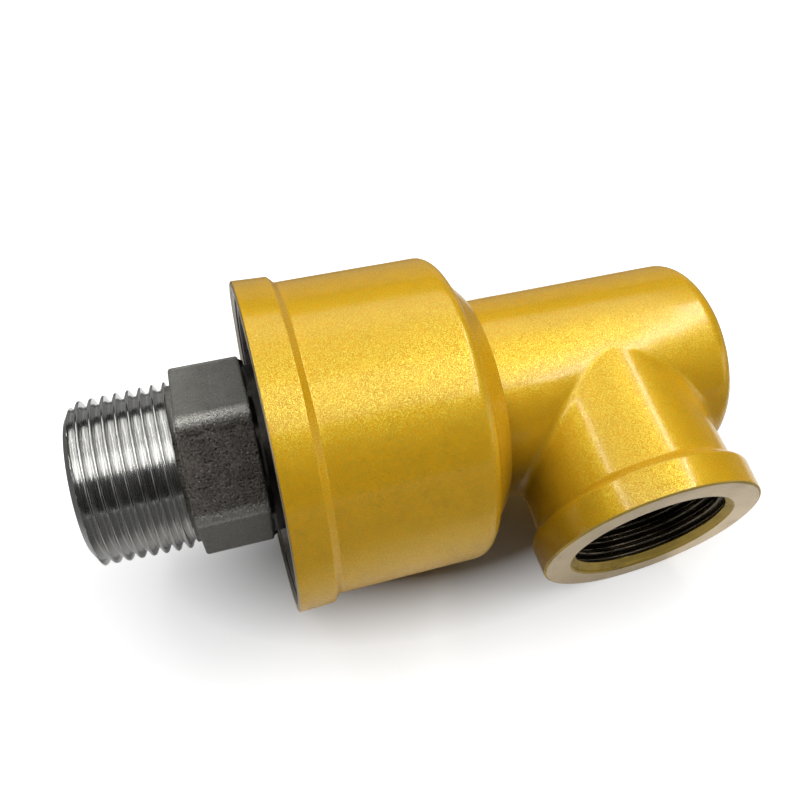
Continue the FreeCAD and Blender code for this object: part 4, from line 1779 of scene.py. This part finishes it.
class InnerFinish(Enum):
    """The finishes of the pieces inside, which keep their CAD shapes."""

    BEARING_STEEL = TurnedMetal("bearing_steel", (0.6, 0.6, 0.59), roughness=0.12, pitch=0.05,
                                mark_depth=0.002, stain_share=0.1)
    POLISHED_BALL = MouldedSkin("polished_balls", (0.66, 0.66, 0.66), roughness=0.05,
                                grain_depth=0.0005)
    BRASS = TurnedMetal("cage_brass", (0.68, 0.45, 0.16), roughness=0.26, stain=(0.4, 0.26, 0.1))
    ZINC_SHEET = MouldedSkin("zinc_sheet", (0.5, 0.51, 0.52), roughness=0.3, grain_depth=0.006)
    TURNED_RING = TurnedMetal("ring_steel", (0.46, 0.46, 0.45), roughness=0.24)
    BLACK_OXIDE = MouldedSkin("black_oxide", (0.05, 0.05, 0.052), metallic=0.8, roughness=0.32)
    SPRING_STEEL = MouldedSkin("spring_steel", (0.34, 0.33, 0.32), roughness=0.28)
    RUBBER = MouldedSkin("black_rubber", (0.018, 0.018, 0.019), metallic=0.0, roughness=0.5)
    CARBON = TurnedMetal("seal_carbon", (0.035, 0.035, 0.037), metallic=0.0, roughness=0.28,
                         mark_depth=0.002, stain=(0.06, 0.06, 0.06))
    HARD_RING = TurnedMetal("lapped_ring", (0.16, 0.16, 0.18), metallic=0.0, roughness=0.08,
                            coat=0.4, mark_depth=0.001, stain=(0.1, 0.1, 0.1), stain_share=0.1)


BEARING_PIECES = {
    "inner_ring": InnerFinish.BEARING_STEEL, "outer_ring": InnerFinish.BEARING_STEEL,
    "balls": InnerFinish.POLISHED_BALL, "cage": InnerFinish.BRASS,
    "front_shield": InnerFinish.ZINC_SHEET, "rear_shield": InnerFinish.ZINC_SHEET,
}
INNER_PIECES = {
    "front_cover": InnerFinish.BLACK_OXIDE, "cover_circlip": InnerFinish.SPRING_STEEL,
    "cover_o_ring": InnerFinish.RUBBER, "lip_seal": InnerFinish.RUBBER,
    "lip_seal_garter_spring": InnerFinish.SPRING_STEEL,
    **{f"{place}_bearing_{piece}": finish for place in ("front", "rear")
       for piece, finish in BEARING_PIECES.items()},
    "outer_spacer_ring": InnerFinish.TURNED_RING, "inner_spacer_sleeve": InnerFinish.TURNED_RING,
    "shaft_circlip": InnerFinish.BLACK_OXIDE, "mating_ring": InnerFinish.HARD_RING,
    "carbon_seal_ring": InnerFinish.CARBON, "seal_carrier": InnerFinish.BRASS,
    "carrier_o_ring": InnerFinish.RUBBER, "seal_keys": InnerFinish.TURNED_RING,
    "seal_spring": InnerFinish.SPRING_STEEL, "spring_seat_washer": InnerFinish.ZINC_SHEET,
}
ROTOR_FINISHES: dict[RotorFace, Finish] = {
    RotorFace.THREAD: TurnedMetal("turned_steel", (0.75, 0.75, 0.73), roughness=0.16,
                                  mark_depth=0.0015, stain_share=0.08),
    RotorFace.FORGED: ForgedSteel("forged_steel", (0.155, 0.153, 0.135), metallic=0.15,
                                  roughness=0.45),
    # Painted shade: the collar behind the hexagon, where the gap lies in shade, is made near black;
    # the journal and nose share this finish
    RotorFace.GROUND: TurnedMetal("dark_collar_painted_shade", (0.05, 0.047, 0.042), roughness=0.36),
}


def dress_inner_pieces(nodes: dict[str, bpy.types.Object], shelf: EffectShelf) -> None:
    """Gives every piece inside its finish.

    Args:
        nodes: The CAD nodes by name.
        shelf: The shared effects.
    """
    made = {finish: finish.value.material(shelf) for finish in InnerFinish}
    for name, finish in INNER_PIECES.items():
        nodes[name].data.materials.clear()
        nodes[name].data.materials.append(made[finish])
        LOG.info("%s: %s", name, finish.value.name)


def cast_finishes(port: Axis) -> dict[CastFace, Finish]:
    """The casting's finishes.

    Args:
        port: The port's axis, round which the tool marks of the port's own faces run.

    Returns:
        A finish for each kind of face.
    """
    iron = TurnedMetal("mouth_iron", (0.86, 0.71, 0.48), roughness=0.36)
    oily = TurnedMetal("oily_bore", (0.2, 0.17, 0.12), roughness=0.27)
    return {
        CastFace.PAINT: FlakePaint("gold_paint", (0.74, 0.36, 0.004), roughness=0.4, specular=0.0,
                                   coat=0.82, coat_roughness=0.15),
        CastFace.MOUTH: iron,
        CastFace.BORE: oily,
        CastFace.PORT_FACE: replace(iron, name="port_iron", axis=port),
        CastFace.PORT_EDGE: TurnedMetal("paint_mist", (0.55, 0.38, 0.07), metallic=0.5,
                                        roughness=0.35, axis=port, stain=(0.12, 0.09, 0.03),
                                        stain_share=0.6),
        CastFace.PORT_THREAD: replace(oily, name="port_thread", axis=port),
    }


def press_spring(spring: bpy.types.Object) -> None:
    """Gives the seal spring a mesh of its own, which keeps its CAD shape.

    Args:
        spring: The spring's node.
    """
    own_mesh(spring)


def main() -> None:
    """Loads the frame, builds and dresses every piece, and sets up the studio round it."""
    logging.basicConfig(level=logging.INFO, format="%(message)s")
    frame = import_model()
    shelf = EffectShelf()
    housing = Housing()
    for piece, kinds in ((housing, cast_finishes(housing.port)), (Rotor(), ROTOR_FINISHES)):
        built = piece.build({face: finish.material(shelf) for face, finish in kinds.items()})
        LOG.info("%s: %d faces", built.name, len(built.data.polygons))
    dress_inner_pieces(frame["nodes"], shelf)
    press_spring(frame["nodes"]["seal_spring"])
    Studio(floor_z=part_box("housing")[0][2] / MM).build()


if __name__ == "__main__":
    main()
